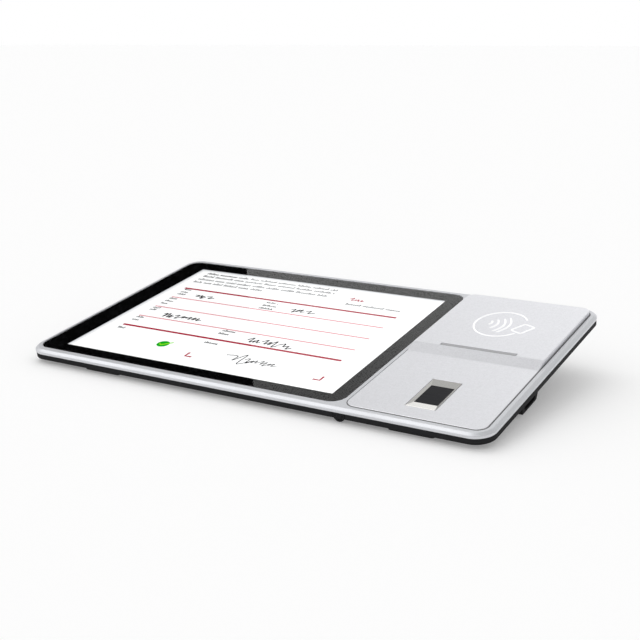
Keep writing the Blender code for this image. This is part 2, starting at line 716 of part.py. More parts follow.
def make_fingerprint_reader(device, chrome, dark_glass, black):
    half = FINGER_WIDTH / 2
    region = area(PANEL_MIDDLE - half, PANEL_MIDDLE + half, FINGER_FRONT, FINGER_BACK)
    surround = slab("fingerprint_surround", device, region, [(0.0, -FINGER_FRAME_HEIGHT), (0.0, 0.0)])
    inner_half = half - FINGER_SIDE_SLOPE
    inner_front, inner_back = FINGER_FRONT + FINGER_END_SLOPE, FINGER_BACK - FINGER_END_SLOPE
    lead = OVERRUN / FINGER_DROP
    side_lead, end_lead = FINGER_SIDE_SLOPE * lead, FINGER_END_SLOPE * lead
    rim = (PANEL_MIDDLE - half - side_lead, PANEL_MIDDLE + half + side_lead)
    mouth = area(*rim, FINGER_FRONT - end_lead, FINGER_BACK + end_lead)
    throat = area(PANEL_MIDDLE - inner_half, PANEL_MIDDLE + inner_half, inner_front, inner_back)
    bm = bmesh.new()
    levels = ((throat, -FINGER_FRAME_HEIGHT - OVERRUN), (throat, -FINGER_DROP), (mouth, OVERRUN))
    loft(bm, [[(x, y, z) for x, y in outline(ring, 1)] for ring, z in levels])
    cut(surround, new_object("finger_recess", bm, device))
    finish(surround, chrome)
    top = -FINGER_DROP - FINGER_WINDOW_SINK
    gap = SEAT_GAP
    low = (PANEL_MIDDLE - inner_half + gap, inner_front + gap, top - FINGER_WINDOW_THICK)
    high = (PANEL_MIDDLE + inner_half - gap, inner_back - gap, top)
    finish(block("fingerprint_window", device, low, high), dark_glass)
    module_area = shrink(region, FINGER_MODULE_INSET)
    levels = [(0.0, MODULE_UNDER), (0.0, MODULE_TOP)]
    finish(slab("fingerprint_module", device, module_area, levels), black)


def make_main_board(device, board_green, steel):
    region = board_area()
    left, right, front, back, _ = region
    board = slab("main_board", device, region, [(0.0, BOARD_UNDER), (0.0, BOARD_TOP)], SMALL_CORNER_STEPS)
    through = (BOARD_UNDER - OVERRUN, BOARD_TOP + OVERRUN)
    places = corner_places(region, BOARD_POST_INSET)
    cut(board, posts("board_holes", device, places, BOARD_HOLE_RADIUS, *through))
    half = (right - left) * CHIP_SIDE_SHARE / 2
    for number, (across, along) in enumerate(CHIP_SHARES, 1):
        x, y = left + (right - left) * across, front + (back - front) * along
        low = (x - half, y - half, BOARD_TOP - BOARD_THICK / 2)
        high = (x + half, y + half, BOARD_TOP + CHIP_HEIGHT)
        join(board, block(f"board_chip_{number}", device, low, high))
    finish(board, board_green)
    across = (right - left) * SHIELD_WIDTH_SHARE / 2
    start = ANTENNA_RIBBON_END + SHIELD_SETBACK
    end = start + SHIELD_DEPTH
    shield_area = area(PANEL_MIDDLE - across, PANEL_MIDDLE + across, start, end, SHIELD_RADIUS)
    low = BOARD_TOP + SEAT_GAP
    levels = [(0.0, low), (0.0, low + SHIELD_HEIGHT)]
    finish(slab("processor_shield", device, shield_area, levels, SMALL_CORNER_STEPS), steel)


def make_antenna_board(device, board_green):
    levels = [(0.0, ANTENNA_UNDER), (0.0, ANTENNA_TOP)]
    finish(slab("antenna_board", device, antenna_area(), levels, SMALL_CORNER_STEPS), board_green)


def make_port_housing(device, black):
    under, top = PORT_UNDER, HUNG_TOP
    edge = BASE_EDGE
    profile = [
        (PORT_FRONT, top),
        (PORT_FRONT, under + edge),
        (PORT_FRONT + edge, under),
        (PORT_SOLE_BACK, under),
        (PORT_SOLE_BACK + edge, under + edge / 2),
        (PORT_TOP_BACK, top),
    ]
    housing = extruded("port_housing", device, profile, (PORT_LEFT, PORT_RIGHT))
    wall = PORT_WALL
    lean = PORT_SLOPE / PORT_HEIGHT
    inner_top = BASE_UNDER + OVERRUN
    hollow = [
        (PORT_FRONT + wall, inner_top),
        (PORT_FRONT + wall, PORT_FLOOR),
        (PORT_SOLE_BACK - wall / 2, PORT_FLOOR),
        (PORT_SOLE_BACK - wall / 2 + (inner_top - PORT_FLOOR) * lean, inner_top),
    ]
    right = WELL_BOTTOM - PORT_WELL_WALL
    cut(housing, extruded("port_hollow", device, hollow, (PORT_LEFT + wall, right)))
    well = area(WELL_FRONT, WELL_BACK, WELL_UNDER, WELL_TOP, SOCKET_RADIUS)
    cut(housing, endways("port_well", device, well, WELL_BOTTOM, PORT_RIGHT + OVERRUN))
    cut(housing, endways("socket_opening", device, socket_area(-SEAT_GAP), right - OVERRUN, PORT_RIGHT))
    join(housing, posts("port_posts", device, port_post_places(), PORT_POST_RADIUS, under + edge, top))
    recess = PORT_HEAD_RADIUS + SEAT_GAP
    step = [
        (recess, under - OVERRUN),
        (recess, under + PORT_COUNTERBORE),
        (PILOT_RADIUS, under + PORT_COUNTERBORE),
        (PILOT_RADIUS, top + OVERRUN),
    ]
    cut(housing, turned("port_bores", device, port_post_places(), step))
    return finish(housing, black)


def port_post_places():
    """Four screws, kept clear of the board between them and of the well at the right end."""
    left = PORT_LEFT + PORT_POST_INSET
    right = WELL_BOTTOM - PORT_WELL_WALL - PORT_BOARD_WIDTH - SEAT_GAP - PORT_POST_RADIUS
    front = PORT_FRONT + PORT_POST_INSET
    back = PORT_SOLE_BACK - PORT_POST_INSET + PORT_WALL
    return [(x, y) for x in (left, right) for y in (front, back)]


def socket_area(inset=0.0):
    half = SOCKET_WIDTH / 2
    return shrink(area(SOCKET_Y - half, SOCKET_Y + half, SOCKET_UNDER, SOCKET_TOP, SOCKET_RADIUS), inset)


def make_port_board(device, board_green, steel):
    levels = [(0.0, PORT_BOARD_UNDER), (0.0, PORT_BOARD_TOP)]
    finish(slab("port_board", device, port_board_area(), levels), board_green)
    socket = endways("usb_socket", device, socket_area(), WELL_BOTTOM - SOCKET_LENGTH, WELL_BOTTOM)
    mouth = WELL_BOTTOM - SOCKET_LENGTH * SOCKET_MOUTH_SHARE
    cut(socket, endways("socket_mouth", device, socket_area(SOCKET_WALL), mouth, WELL_BOTTOM + OVERRUN))
    tongue_height = SOCKET_HEIGHT * SOCKET_TONGUE_SHARE / 2
    middle = (SOCKET_UNDER + SOCKET_TOP) / 2
    half = SOCKET_WIDTH * SOCKET_TONGUE_WIDTH_SHARE / 2
    low = (mouth - SOCKET_WALL, SOCKET_Y - half, middle - tongue_height)
    high = (WELL_BOTTOM - SOCKET_WALL, SOCKET_Y + half, middle + tongue_height)
    join(socket, block("socket_tongue", device, low, high))
    finish(socket, steel)


def strip(name, parent, path, left, material):
    """A flat cable: a path of (y, z) points given the cable's thickness, drawn out along X."""
    offset = []
    for i, point in enumerate(path):
        before = Vector(path[max(i - 1, 0)])
        after = Vector(path[min(i + 1, len(path) - 1)])
        here = Vector(point)
        first = (here - before).normalized() if i else (after - here).normalized()
        second = (after - here).normalized() if i < len(path) - 1 else first
        across = Vector((-(first + second).y, (first + second).x)).normalized()
        widen = across.dot(Vector((-first.y, first.x)))
        offset.append(tuple(here + across * RIBBON_THICK / widen))
    profile = list(path) + list(reversed(offset))
    return finish(extruded(name, parent, profile, (left, left + RIBBON_WIDTH)), material)


def port_board_area():
    right = WELL_BOTTOM - PORT_WELL_WALL - SEAT_GAP
    front = SOCKET_Y - PORT_BOARD_DEPTH / 2
    return area(right - PORT_BOARD_WIDTH, right, front, front + PORT_BOARD_DEPTH)


def port_ribbon_front():
    """The cable from the port housing climbs just inside that housing's front wall."""
    return PORT_FRONT + PORT_WALL + SEAT_GAP


def make_ribbons(device, film):
    above_board = BOARD_TOP + SEAT_GAP
    board_front = PANEL_FRONT + BOARD_FRONT_SETBACK
    front = port_ribbon_front()
    on_port_board = PORT_BOARD_TOP + SEAT_GAP
    path = [
        (port_board_area()[2] + RIBBON_LAP, on_port_board + RIBBON_THICK),
        (front + RIBBON_THICK, on_port_board + RIBBON_THICK),
        (front + RIBBON_THICK, above_board),
        (board_front + RIBBON_LAP, above_board),
    ]
    strip("port_ribbon", device, path, PORT_RIBBON_LEFT, film)
    below = ANTENNA_UNDER - SEAT_GAP
    path = [
        (ANTENNA_RIBBON_END, above_board + RIBBON_THICK),
        (ANTENNA_RIBBON_FRONT, above_board + RIBBON_THICK),
        (ANTENNA_RIBBON_FRONT, below - RIBBON_THICK),
        (ANTENNA_RIBBON_END, below - RIBBON_THICK),
    ]
    strip("antenna_ribbon", device, path, PANEL_MIDDLE + RIBBON_LAP, film)
    path = [
        (FINGER_BACK - FINGER_MODULE_INSET + SEAT_GAP, (MODULE_TOP + MODULE_UNDER) / 2),
        (board_front - RIBBON_LAP, (MODULE_TOP + MODULE_UNDER) / 2),
        (board_front, above_board),
        (board_front + RIBBON_LAP, above_board),
    ]
    strip("fingerprint_ribbon", device, path, FINGER_RIBBON_LEFT, film)
    cell_right = cell_area(0.0)[1]
    board_left = board_area()[0]
    middle = BODY_DEPTH / 2
    half = DISPLAY_RIBBON_WIDTH / 2
    low = (cell_right + SEAT_GAP, middle - half, above_board)
    high = (board_left + RIBBON_LAP, middle + half, above_board + RIBBON_THICK)
    finish(block("display_ribbon", device, low, high), film)


def make_microphone(device, black, steel):
    centre = [(MIC_X, MIC_HEIGHT)]
    cap = rods_along_y("microphone_cap", device, centre, (MIC_FRONT, MIC_BACK), MIC_RADIUS)
    side = MIC_RADIUS + OVERRUN
    low = (MIC_X - side, MIC_FRONT - OVERRUN, MIC_ROOF)
    high = (MIC_X + side, MIC_BACK + OVERRUN, MIC_HEIGHT + side)
    cut(cap, block("mic_flat", device, low, high))
    room = (MIC_FRONT + MIC_FACE, MIC_BACK + OVERRUN)
    hollow = rods_along_y("mic_room", device, centre, room, MIC_RADIUS - MIC_WALL)
    low = (MIC_X - side, MIC_FRONT, MIC_ROOF - MIC_WALL)
    high = (MIC_X + side, MIC_BACK + side, MIC_HEIGHT + side)
    cut(hollow, block("mic_room_flat", device, low, high))
    cut(cap, hollow)
    holes = list(centre)
    for step in range(MIC_RING_HOLES):
        turn = math.pi * (1 + step / (MIC_RING_HOLES - 1))
        x, z = MIC_X + MIC_HOLE_RING * math.cos(turn), MIC_HEIGHT + MIC_HOLE_RING * math.sin(turn)
        holes.append((x, z))
    span = (MIC_FRONT - OVERRUN, MIC_FRONT + MIC_FACE + OVERRUN)
    cut(cap, rods_along_y("mic_holes", device, holes, span, MIC_HOLE_RADIUS, BOLT_SIDES))
    finish(cap, black)
    front = MIC_FRONT + MIC_FACE + SEAT_GAP
    place = (MIC_X, MIC_ROOF - MIC_WALL - SEAT_GAP - MIC_CAPSULE_RADIUS)
    span = (front, front + MIC_CAPSULE_LENGTH)
    capsule = rods_along_y("microphone_capsule", device, [place], span, MIC_CAPSULE_RADIUS)
    finish(capsule, steel)


def make_foot(device, name, left, rubber):
    region = area(left, left + FOOT_WIDTH, FOOT_FRONT, FOOT_BACK, FOOT_RADIUS)
    low = table_height(FOOT_BACK) - OVERRUN
    foot = slab(name, device, region, [(0.0, low), (0.0, HUNG_TOP)], SMALL_CORNER_STEPS)
    front, back = FOOT_FRONT - OVERRUN, FOOT_BACK + OVERRUN
    table = [
        (front, table_height(front)),
        (back, table_height(back)),
        (back, low - OVERRUN),
        (front, low - OVERRUN),
    ]
    span = (left - OVERRUN, left + FOOT_WIDTH + OVERRUN)
    cut(foot, extruded(name + "_sole", device, table, span))
    finish(foot, rubber)


def make_screw(parent, name, place, head, shank, seat, tip, metal):
    """A screw with its head on the far side of its seat from its tip, and a round drive recess."""
    head_radius, head_height = head
    away = math.copysign(1.0, seat - tip)
    crown = seat + head_height * away
    recess = crown - SCREW_SOCKET_DEPTH * away
    socket = min(SCREW_SOCKET_RADIUS, head_radius / 2)
    profile = [
        (socket, recess),
        (socket, crown),
        (head_radius, crown),
        (head_radius, seat),
        (shank, seat),
        (shank, tip),
    ]
    finish(turned(name, parent, [place], profile), metal)


def bracket_screw_places():
    places = []
    for side in (-1, 1):
        middle = side * HINGE_SPREAD / 2
        for spread in (-1, 1):
            places.append((middle + spread * BRACKET_SCREW_SPREAD, HINGE_Y + BRACKET_SCREW_BACK))
    return places


def make_screws(device, metal):
    gap = SEAT_GAP
    head = (SCREW_HEAD_RADIUS, SCREW_HEAD_HEIGHT)
    for number, place in enumerate(post_places(), 1):
        seat = BASE_UNDER + SCREW_RECESS - gap
        name = f"base_screw_{number}"
        make_screw(device, name, place, head, SCREW_SHANK_RADIUS, seat, LEDGE_UNDER - gap, metal)
    for number, place in enumerate(corner_places(board_area(), BOARD_POST_INSET), 1):
        name = f"board_screw_{number}"
        make_screw(device, name, place, head, BOARD_SCREW_SHANK, BOARD_TOP + gap, FLOOR_TOP, metal)
    head = (PORT_HEAD_RADIUS, SCREW_HEAD_HEIGHT)
    for number, place in enumerate(port_post_places(), 1):
        seat = PORT_UNDER + PORT_COUNTERBORE - gap
        make_screw(device, f"port_screw_{number}", place, head, PORT_SHANK_RADIUS, seat, FLOOR_TOP, metal)
    head = (BRACKET_HEAD_RADIUS, BRACKET_HEAD_HEIGHT)
    for number, place in enumerate(bracket_screw_places(), 1):
        seat = FLANGE_UNDER - gap
        name = f"bracket_screw_{number}"
        make_screw(device, name, place, head, BRACKET_SHANK_RADIUS, seat, FLOOR_TOP, metal)


def arc(radius, start, end, steps):
    """Points of (y, z) round the hinge axis, from one angle to another."""
    turns = [start + (end - start) * step / steps for step in range(steps + 1)]
    return [(radius * math.cos(turn), radius * math.sin(turn)) for turn in turns]


def make_hinge_bracket(device, name, middle, steel):
    """A flange under the base, two ears round the pin, and a lip between them that stops the stand."""
    half = EAR_OUTER + BRACKET_MARGIN
    low = (middle - half, HINGE_Y - BRACKET_FRONT, FLANGE_UNDER)
    high = (middle + half, HINGE_Y + BRACKET_BACK, HUNG_TOP)
    bracket = block(name, device, low, high)
    sunk = HUNG_TOP - BRACKET_PLATE / 2 - HINGE_HEIGHT
    clear = KNUCKLE_RADIUS + SEAT_GAP
    heel = clear + STOP_THICK / 2
    eye = arc(EAR_RADIUS, math.pi, EYE_END, EYE_STEPS)
    ear = [(-EAR_RADIUS, sunk)] + eye + [(heel, eye[-1][1]), (heel, sunk)]
    ear = [(HINGE_Y + y, HINGE_HEIGHT + z) for y, z in ear]
    left = (middle - EAR_OUTER, middle - EAR_INNER)
    right = (middle + EAR_INNER, middle + EAR_OUTER)
    join(bracket, extruded(name + "_ears", device, ear, left, right))
    lip_top, lip_under = STAND_TOP, STAND_TOP + STOP_LENGTH
    leg = (STAND_THICK / 2 + SEAT_GAP) / math.cos(STAND_LEAN)
    slope = math.tan(STAND_LEAN)
    stop = [
        (clear, sunk),
        (clear, -clear),
        (leg + lip_top * slope, -lip_top),
        (leg + lip_under * slope, -lip_under),
        (clear + STOP_THICK, -lip_under),
        (clear + STOP_THICK, sunk),
    ]
    stop = [(HINGE_Y + y, HINGE_HEIGHT + z) for y, z in stop]
    reach = (EAR_INNER + EAR_OUTER) / 2
    join(bracket, extruded(name + "_stop", device, stop, (middle - reach, middle + reach)))
    span = (middle - half - OVERRUN, middle + half + OVERRUN)
    bore = PIN_RADIUS + PIN_CLEARANCE
    cut(bracket, rods_along_x(name + "_bore", device, [span], HINGE_Y, HINGE_HEIGHT, bore))
    places = [(x, y) for x, y in bracket_screw_places() if abs(x - middle) < half]
    cut(bracket, posts(name + "_holes", device, places, PILOT_RADIUS, FLANGE_UNDER - OVERRUN, BASE_UNDER))
    finish(bracket, steel)


def make_hinges(device, steel):
    for label, side in (("left", -1), ("right", 1)):
        middle = side * HINGE_SPREAD / 2
        make_hinge_bracket(device, "hinge_bracket_" + label, middle, steel)
        half = EAR_OUTER + PIN_END
        spans = [(middle - half, middle + half)]
        pin = rods_along_x("hinge_pin_" + label, device, spans, HINGE_Y, HINGE_HEIGHT, PIN_RADIUS)
        finish(pin, steel)


def make_stand(pivot, black, rubber):
    """The stand is drawn on its pivot, whose origin is the hinge axis, hanging straight down."""
    half = STAND_WIDTH / 2
    thick = STAND_THICK / 2
    lean = TILT + STAND_LEAN
    hinge_rise = DEVICE_LIFT + HINGE_Y * math.sin(TILT) + HINGE_HEIGHT * math.cos(TILT)
    under = SHOE_SOLE - hinge_rise / math.cos(lean)
    region = area(-half, half, under, -STAND_TOP, STAND_RADIUS)
    edge = STAND_EDGE
    levels = [(edge, -thick), (0.0, edge - thick), (0.0, thick - edge), (edge, thick)]
    plate = upright("stand_plate", pivot, region, levels, CORNER_STEPS)
    neck = math.asin(thick / KNUCKLE_RADIUS) - math.pi / 2
    knuckle = arc(KNUCKLE_RADIUS, neck, math.pi - neck, PIN_SIDES)
    knuckle += [(-thick, -STAND_TOP - OVERRUN), (thick, -STAND_TOP - OVERRUN)]
    middles = [side * HINGE_SPREAD / 2 for side in (-1, 1)]
    reach = KNUCKLE_WIDTH / 2
    spans = [(middle - reach, middle + reach) for middle in middles]
    join(plate, extruded("knuckles", pivot, knuckle, *spans))
    spans = [(start - OVERRUN, end + OVERRUN) for start, end in spans]
    cut(plate, rods_along_x("knuckle_bores", pivot, spans, 0.0, 0.0, PIN_RADIUS + PIN_CLEARANCE))
    finish(plate, black)
    depth = thick + SEAT_GAP + SHOE_WALL
    top = under + SHOE_GRIP
    profile = [(-depth, top), (depth, top)]
    for y in (depth, -depth):
        profile.append((y, -(hinge_rise + y * math.sin(lean)) / math.cos(lean)))
    length = half + SHOE_END
    shoe = extruded("stand_shoe", pivot, profile, (-length, length))
    low = (-half - SEAT_GAP, -thick - SEAT_GAP, under - SEAT_GAP)
    high = (half + SEAT_GAP, thick + SEAT_GAP, top + OVERRUN)
    cut(shoe, block("shoe_groove", pivot, low, high))
    finish(shoe, rubber)


def make_rating_plate(device, satin):
    left = BODY_LEFT + RATING_FROM_LEFT
    region = area(left, left + RATING_WIDTH, RATING_FRONT, RATING_FRONT + RATING_DEPTH, RATING_RADIUS)
    levels = [(0.0, HUNG_TOP - RATING_THICK), (0.0, HUNG_TOP)]
    finish(slab("rating_plate", device, region, levels, SMALL_CORNER_STEPS), satin)


def main():
    clear_scene()
    device = bpy.data.objects.new("device", None)
    bpy.context.scene.collection.objects.link(device)
    device.location = (0.0, table_middle(), DEVICE_LIFT)
    device.rotation_euler = (TILT, 0.0, 0.0)
    pivot = bpy.data.objects.new("stand_pivot", None)
    bpy.context.scene.collection.objects.link(pivot)
    pivot.parent = device
    pivot.location = (0.0, HINGE_Y, HINGE_HEIGHT)
    pivot.rotation_euler = (STAND_LEAN, 0.0, 0.0)

    silver = make_material("silver_frame", (0.72, 0.73, 0.75), 0.28, 1.0)
    silver_paint = make_material("silver_paint", (0.70, 0.71, 0.73), 0.45)
    black = make_material("black_plastic", (0.022, 0.022, 0.024), 0.5)
    rubber = make_material("black_rubber", (0.018, 0.018, 0.018), 0.85)
    glass = make_material("cover_glass", (0.9, 0.92, 0.93), 0.03)
    ink = make_material("black_ink", (0.006, 0.006, 0.007), 0.35)
    lit = make_material("lit_display", (0.95, 0.95, 0.95), 0.4)
    chrome = make_material("bright_metal", (0.83, 0.82, 0.79), 0.15, 1.0)
    dark_glass = make_material("sensor_glass", (0.03, 0.03, 0.032), 0.1)
    frosted = make_material("frosted_bar", (0.38, 0.38, 0.39), 0.5)
    steel = make_material("plated_steel", (0.55, 0.55, 0.56), 0.35, 1.0)
    board_green = make_material("circuit_board", (0.02, 0.11, 0.05), 0.5)
    film = make_material("cable_film", (0.32, 0.14, 0.03), 0.4)
    satin = make_material("rating_film", (0.60, 0.60, 0.61), 0.5)

    make_top_frame(device, silver)
    make_display_stack(device, glass, ink, lit, steel, board_green)
    make_chassis(device, steel)
    make_base_shell(device, black)
    make_control_panel(device, silver_paint)
    make_light_bar(device, frosted, board_green)
    make_fingerprint_reader(device, chrome, dark_glass, black)
    make_main_board(device, board_green, steel)
    make_antenna_board(device, board_green)
    make_port_housing(device, black)
    make_port_board(device, board_green, steel)
    make_ribbons(device, film)
    make_microphone(device, black, steel)
    make_foot(device, "front_foot_left", BODY_LEFT + FOOT_FROM_LEFT, rubber)
    make_foot(device, "front_foot_right", BODY_RIGHT - FOOT_FROM_RIGHT - FOOT_WIDTH, rubber)
    make_screws(device, steel)
    make_hinges(device, steel)
    make_stand(pivot, black, rubber)
    make_rating_plate(device, satin)


main()
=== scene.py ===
# %% [markdown]
# # A counter signature pad, dressed for a product picture
#
# The pad was first built as plain solids at their real size. This lesson dresses those solids: it
# gives every piece its finish, and it remodels the shells that a buyer looks at, with the fine rounds
# that light needs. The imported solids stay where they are, and each new piece is placed by measuring them.

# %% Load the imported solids
import math
import random

import bmesh
import bpy
from mathutils import Matrix, Vector


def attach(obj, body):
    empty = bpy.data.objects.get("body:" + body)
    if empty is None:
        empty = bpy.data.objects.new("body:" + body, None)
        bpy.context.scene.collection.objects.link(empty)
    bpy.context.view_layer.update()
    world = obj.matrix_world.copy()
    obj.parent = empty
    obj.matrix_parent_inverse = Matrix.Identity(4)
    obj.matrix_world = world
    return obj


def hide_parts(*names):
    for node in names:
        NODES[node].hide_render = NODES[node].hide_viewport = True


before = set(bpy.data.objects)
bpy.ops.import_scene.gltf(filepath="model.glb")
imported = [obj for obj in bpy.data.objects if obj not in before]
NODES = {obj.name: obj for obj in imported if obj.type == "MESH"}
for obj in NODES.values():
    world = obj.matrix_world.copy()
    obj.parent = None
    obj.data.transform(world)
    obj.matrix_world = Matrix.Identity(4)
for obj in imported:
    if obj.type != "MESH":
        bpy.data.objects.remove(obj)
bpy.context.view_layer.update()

# %% [markdown]
# ## The pad's own frame
#
# On the desk the pad leans back, so nothing on it is level. Working in the pad's own frame keeps the
# modelling simple: X runs to the right, Y from the front edge to the back, and Z is the height above
# the glass. The lean is read from the glass itself: its largest face looks straight out of the pad.

# %% Find the pad's own frame


def outlook(node):
    """The direction that a solid's largest upward face looks in."""
    faces = [face for face in NODES[node].data.polygons if face.normal.z > 0]
    return max(faces, key=lambda face: face.area).normal.copy()


def turned_box(node, turn):
    """A solid's lowest and highest corner after a turn of the whole model."""
    places = [turn @ vertex.co for vertex in NODES[node].data.vertices]
    low = Vector([min(place[axis] for place in places) for axis in range(3)])
    high = Vector([max(place[axis] for place in places) for axis in range(3)])
    return low, high


GLASS_OUTLOOK = outlook("cover_glass")
TILT = math.atan2(-GLASS_OUTLOOK.y, GLASS_OUTLOOK.z)
LEVEL = Matrix.Rotation(-TILT, 4, "X")
FRAME_LOW, FRAME_HIGH = turned_box("top_frame", LEVEL)
PAD_ORIGIN = Vector((0.0, FRAME_LOW.y, FRAME_HIGH.z))
PAD = LEVEL.inverted() @ Matrix.Translation(PAD_ORIGIN)


def pad_box(node):
    """A solid's lowest and highest corner in the pad's own frame."""
    low, high = turned_box(node, LEVEL)
    return low - PAD_ORIGIN, high - PAD_ORIGIN


print(f"the pad leans back {math.degrees(TILT):.2f} degrees")

# %% [markdown]
# ## The camera
#
# The reference picture was taken from the right front, a little above the pad. The camera's place and
# focal length were worked out from the four corners of the glass, so they are plain numbers here. The
# camera looks straight along its axis, with no shift.

# %% Set the camera
CAMERA_PLACE = (0.381134, -0.610120, 0.211535)
CAMERA_TURN = tuple(math.radians(angle) for angle in (75.896, 0.0, 31.482))
CAMERA_LENS = 62.25
SENSOR_WIDTH = 36.0


def make_camera():
    """A camera at the worked out place, made the scene's own."""
    data = bpy.data.cameras.new("counter_camera")
    data.lens = CAMERA_LENS
    data.sensor_width = SENSOR_WIDTH
    data.clip_start = 0.01
    data.clip_end = 200.0
    camera = bpy.data.objects.new("counter_camera", data)
    camera.location = CAMERA_PLACE
    camera.rotation_euler = CAMERA_TURN
    bpy.context.scene.collection.objects.link(camera)
    bpy.context.scene.camera = camera


make_camera()
bpy.context.scene.view_settings.view_transform = "Standard"
print(f"camera {CAMERA_LENS} mm, {Vector(CAMERA_PLACE).length:.2f} m from the pad's middle")

# %% [markdown]
# ## The studio
#
# The picture has a white table that runs into a white background, one soft light from the upper left
# and the back, and even light from all round. The even light comes from the world. It looks plain white
# to the camera and lights the pad a little less than that. In reflections the room is a soft grey with
# two broad pale areas, one behind the pad and one high at its left front, as a studio with large
# reflectors has, because metal in an evenly white room would look flat.

# %% Light the pad from all round
AROUND_LEVEL = 0.69
ROOM_TONE = 0.50
REFLECTORS = (
    ((-0.10, 0.94, 0.28), 8.0, 34.0, 0.66),
    ((-0.51, -0.42, 0.76), 18.0, 36.0, 1.62),
)
WHITE = (1.0, 1.0, 1.0, 1.0)


def room_tone(tree):
    """How bright the room is in each direction: one soft grey, and more towards each reflector.

    A reflector is its direction, two angles between which it fades out, and how much it adds.
    """
    place = tree.nodes.new("ShaderNodeTexCoord").outputs["Generated"]
    level = None
    for direction, inner, outer, amount in REFLECTORS:
        near = tree.nodes.new("ShaderNodeVectorMath")
        near.operation = "DOT_PRODUCT"
        tree.links.new(place, near.inputs[0])
        near.inputs[1].default_value = Vector(direction).normalized()
        soft = tree.nodes.new("ShaderNodeMapRange")
        soft.interpolation_type = "SMOOTHSTEP"
        ends = (math.cos(math.radians(outer)), math.cos(math.radians(inner)), 0.0, amount)
        for label, value in zip(("From Min", "From Max", "To Min", "To Max"), ends):
            soft.inputs[label].default_value = value
        tree.links.new(near.outputs["Value"], soft.inputs["Value"])
        add = tree.nodes.new("ShaderNodeMath")
        add.inputs[1].default_value = ROOM_TONE
        tree.links.new(soft.outputs["Result"], add.inputs[0])
        if level:
            tree.links.new(level, add.inputs[1])
        level = add.outputs[0]
    return level


def make_world():
    """A plain white world whose strength depends on which kind of ray asks for it."""
    world = bpy.data.worlds.new("white_studio")
    bpy.context.scene.world = world
    world.use_nodes = True
    tree = world.node_tree
    around = tree.nodes["Background"]
    seen = tree.nodes.new("ShaderNodeBackground")
    mirrored = tree.nodes.new("ShaderNodeBackground")
    for light, strength in ((around, AROUND_LEVEL), (seen, 1.0), (mirrored, ROOM_TONE)):
        light.inputs["Color"].default_value = WHITE
        light.inputs["Strength"].default_value = strength
    tree.links.new(room_tone(tree), mirrored.inputs["Strength"])
    path = tree.nodes.new("ShaderNodeLightPath")
    light = around
    layers = (("Is Glossy Ray", mirrored), ("Is Transmission Ray", seen), ("Is Camera Ray", seen))
    for ray, level in layers:
        mix = tree.nodes.new("ShaderNodeMixShader")
        tree.links.new(path.outputs[ray], mix.inputs[0])
        tree.links.new(light.outputs[0], mix.inputs[1])
        tree.links.new(level.outputs[0], mix.inputs[2])
        light = mix
    tree.links.new(light.outputs[0], tree.nodes["World Output"].inputs["Surface"])


make_world()
print(f"{len(REFLECTORS)} reflectors in a room of tone {ROOM_TONE}")

# %% [markdown]
# ## The table and the lamp
#
# The table is milky acrylic with a little light from below, as product photographers use it, so its
# shadows stay pale. A sun lamp with a very wide angle makes the soft shadow and lights the whole table
# evenly, which a softbox near the pad would not. Nothing mirrors the lamp, because the pale areas of the
# room stand for it there.

# %% Lay the table and hang the lamp
FLOOR_HALF = 60.0
FLOOR_COLOUR = (0.80, 0.80, 0.80)
FLOOR_GLOW = 0.22
LAMP_LEVEL = 1.32
LAMP_SPREAD = math.radians(70)
LAMP_FROM = Vector((-0.62, 0.50, 0.62))


def new_material(name):
    """A material with its node tree, its Principled shader and nothing else."""
    material = bpy.data.materials.new(name)
    material.use_nodes = True
    return material, material.node_tree, material.node_tree.nodes["Principled BSDF"]


def link_object(name, data):
    """A new object in the scene, from its data."""
    made = bpy.data.objects.new(name, data)
    bpy.context.scene.collection.objects.link(made)
    return made


def make_floor():
    """A wide white plane at height zero, which belongs to the studio and not to the pad."""
    mesh = bpy.data.meshes.new("white_floor")
    half = FLOOR_HALF
    corners = [(-half, -half, 0.0), (half, -half, 0.0), (half, half, 0.0), (-half, half, 0.0)]
    mesh.from_pydata(corners, [], [(0, 1, 2, 3)])
    material, _, shader = new_material("white_floor")
    shader.inputs["Base Color"].default_value = (*FLOOR_COLOUR, 1.0)
    shader.inputs["Roughness"].default_value = 0.9
    shader.inputs["Specular IOR Level"].default_value = 0.0
    shader.inputs["Emission Color"].default_value = WHITE
    shader.inputs["Emission Strength"].default_value = FLOOR_GLOW
    mesh.materials.append(material)
    floor = link_object("white_floor", mesh)


def make_lamp():
    """A wide sun from the upper left and the back, which no reflection shows."""
    data = bpy.data.lights.new("wide_lamp", "SUN")
    data.energy = LAMP_LEVEL
    data.angle = LAMP_SPREAD
    lamp = link_object("wide_lamp", data)
    lamp.visible_glossy = False
    lamp.visible_transmission = False
    lamp.rotation_euler = LAMP_FROM.to_track_quat("Z", "Y").to_euler()


make_floor()
make_lamp()
print(f"lamp from {LAMP_FROM[:]}, {math.degrees(LAMP_SPREAD):.0f} degrees wide")

# %% [markdown]
# ## The dark card
#
# In the picture the left part of the glass border is pure black and the rest is grey, with a straight
# line between them. That line is the edge of a dark surface in the studio, seen in the glass. A real
# photographer stands a black card there. This card is seen by reflections alone: it throws no shadow
# and takes no light from the pad. Its leaning edge was placed where the line in the glass asks for it.

# %% Stand the dark card
CARD_DISTANCE = 1.2
CARD_FOOT = (-0.985, 0.55)
CARD_HEAD = (-1.125, 1.30)
CARD_LEFT = -2.1
CARD_COLOUR = (0.004, 0.004, 0.004)


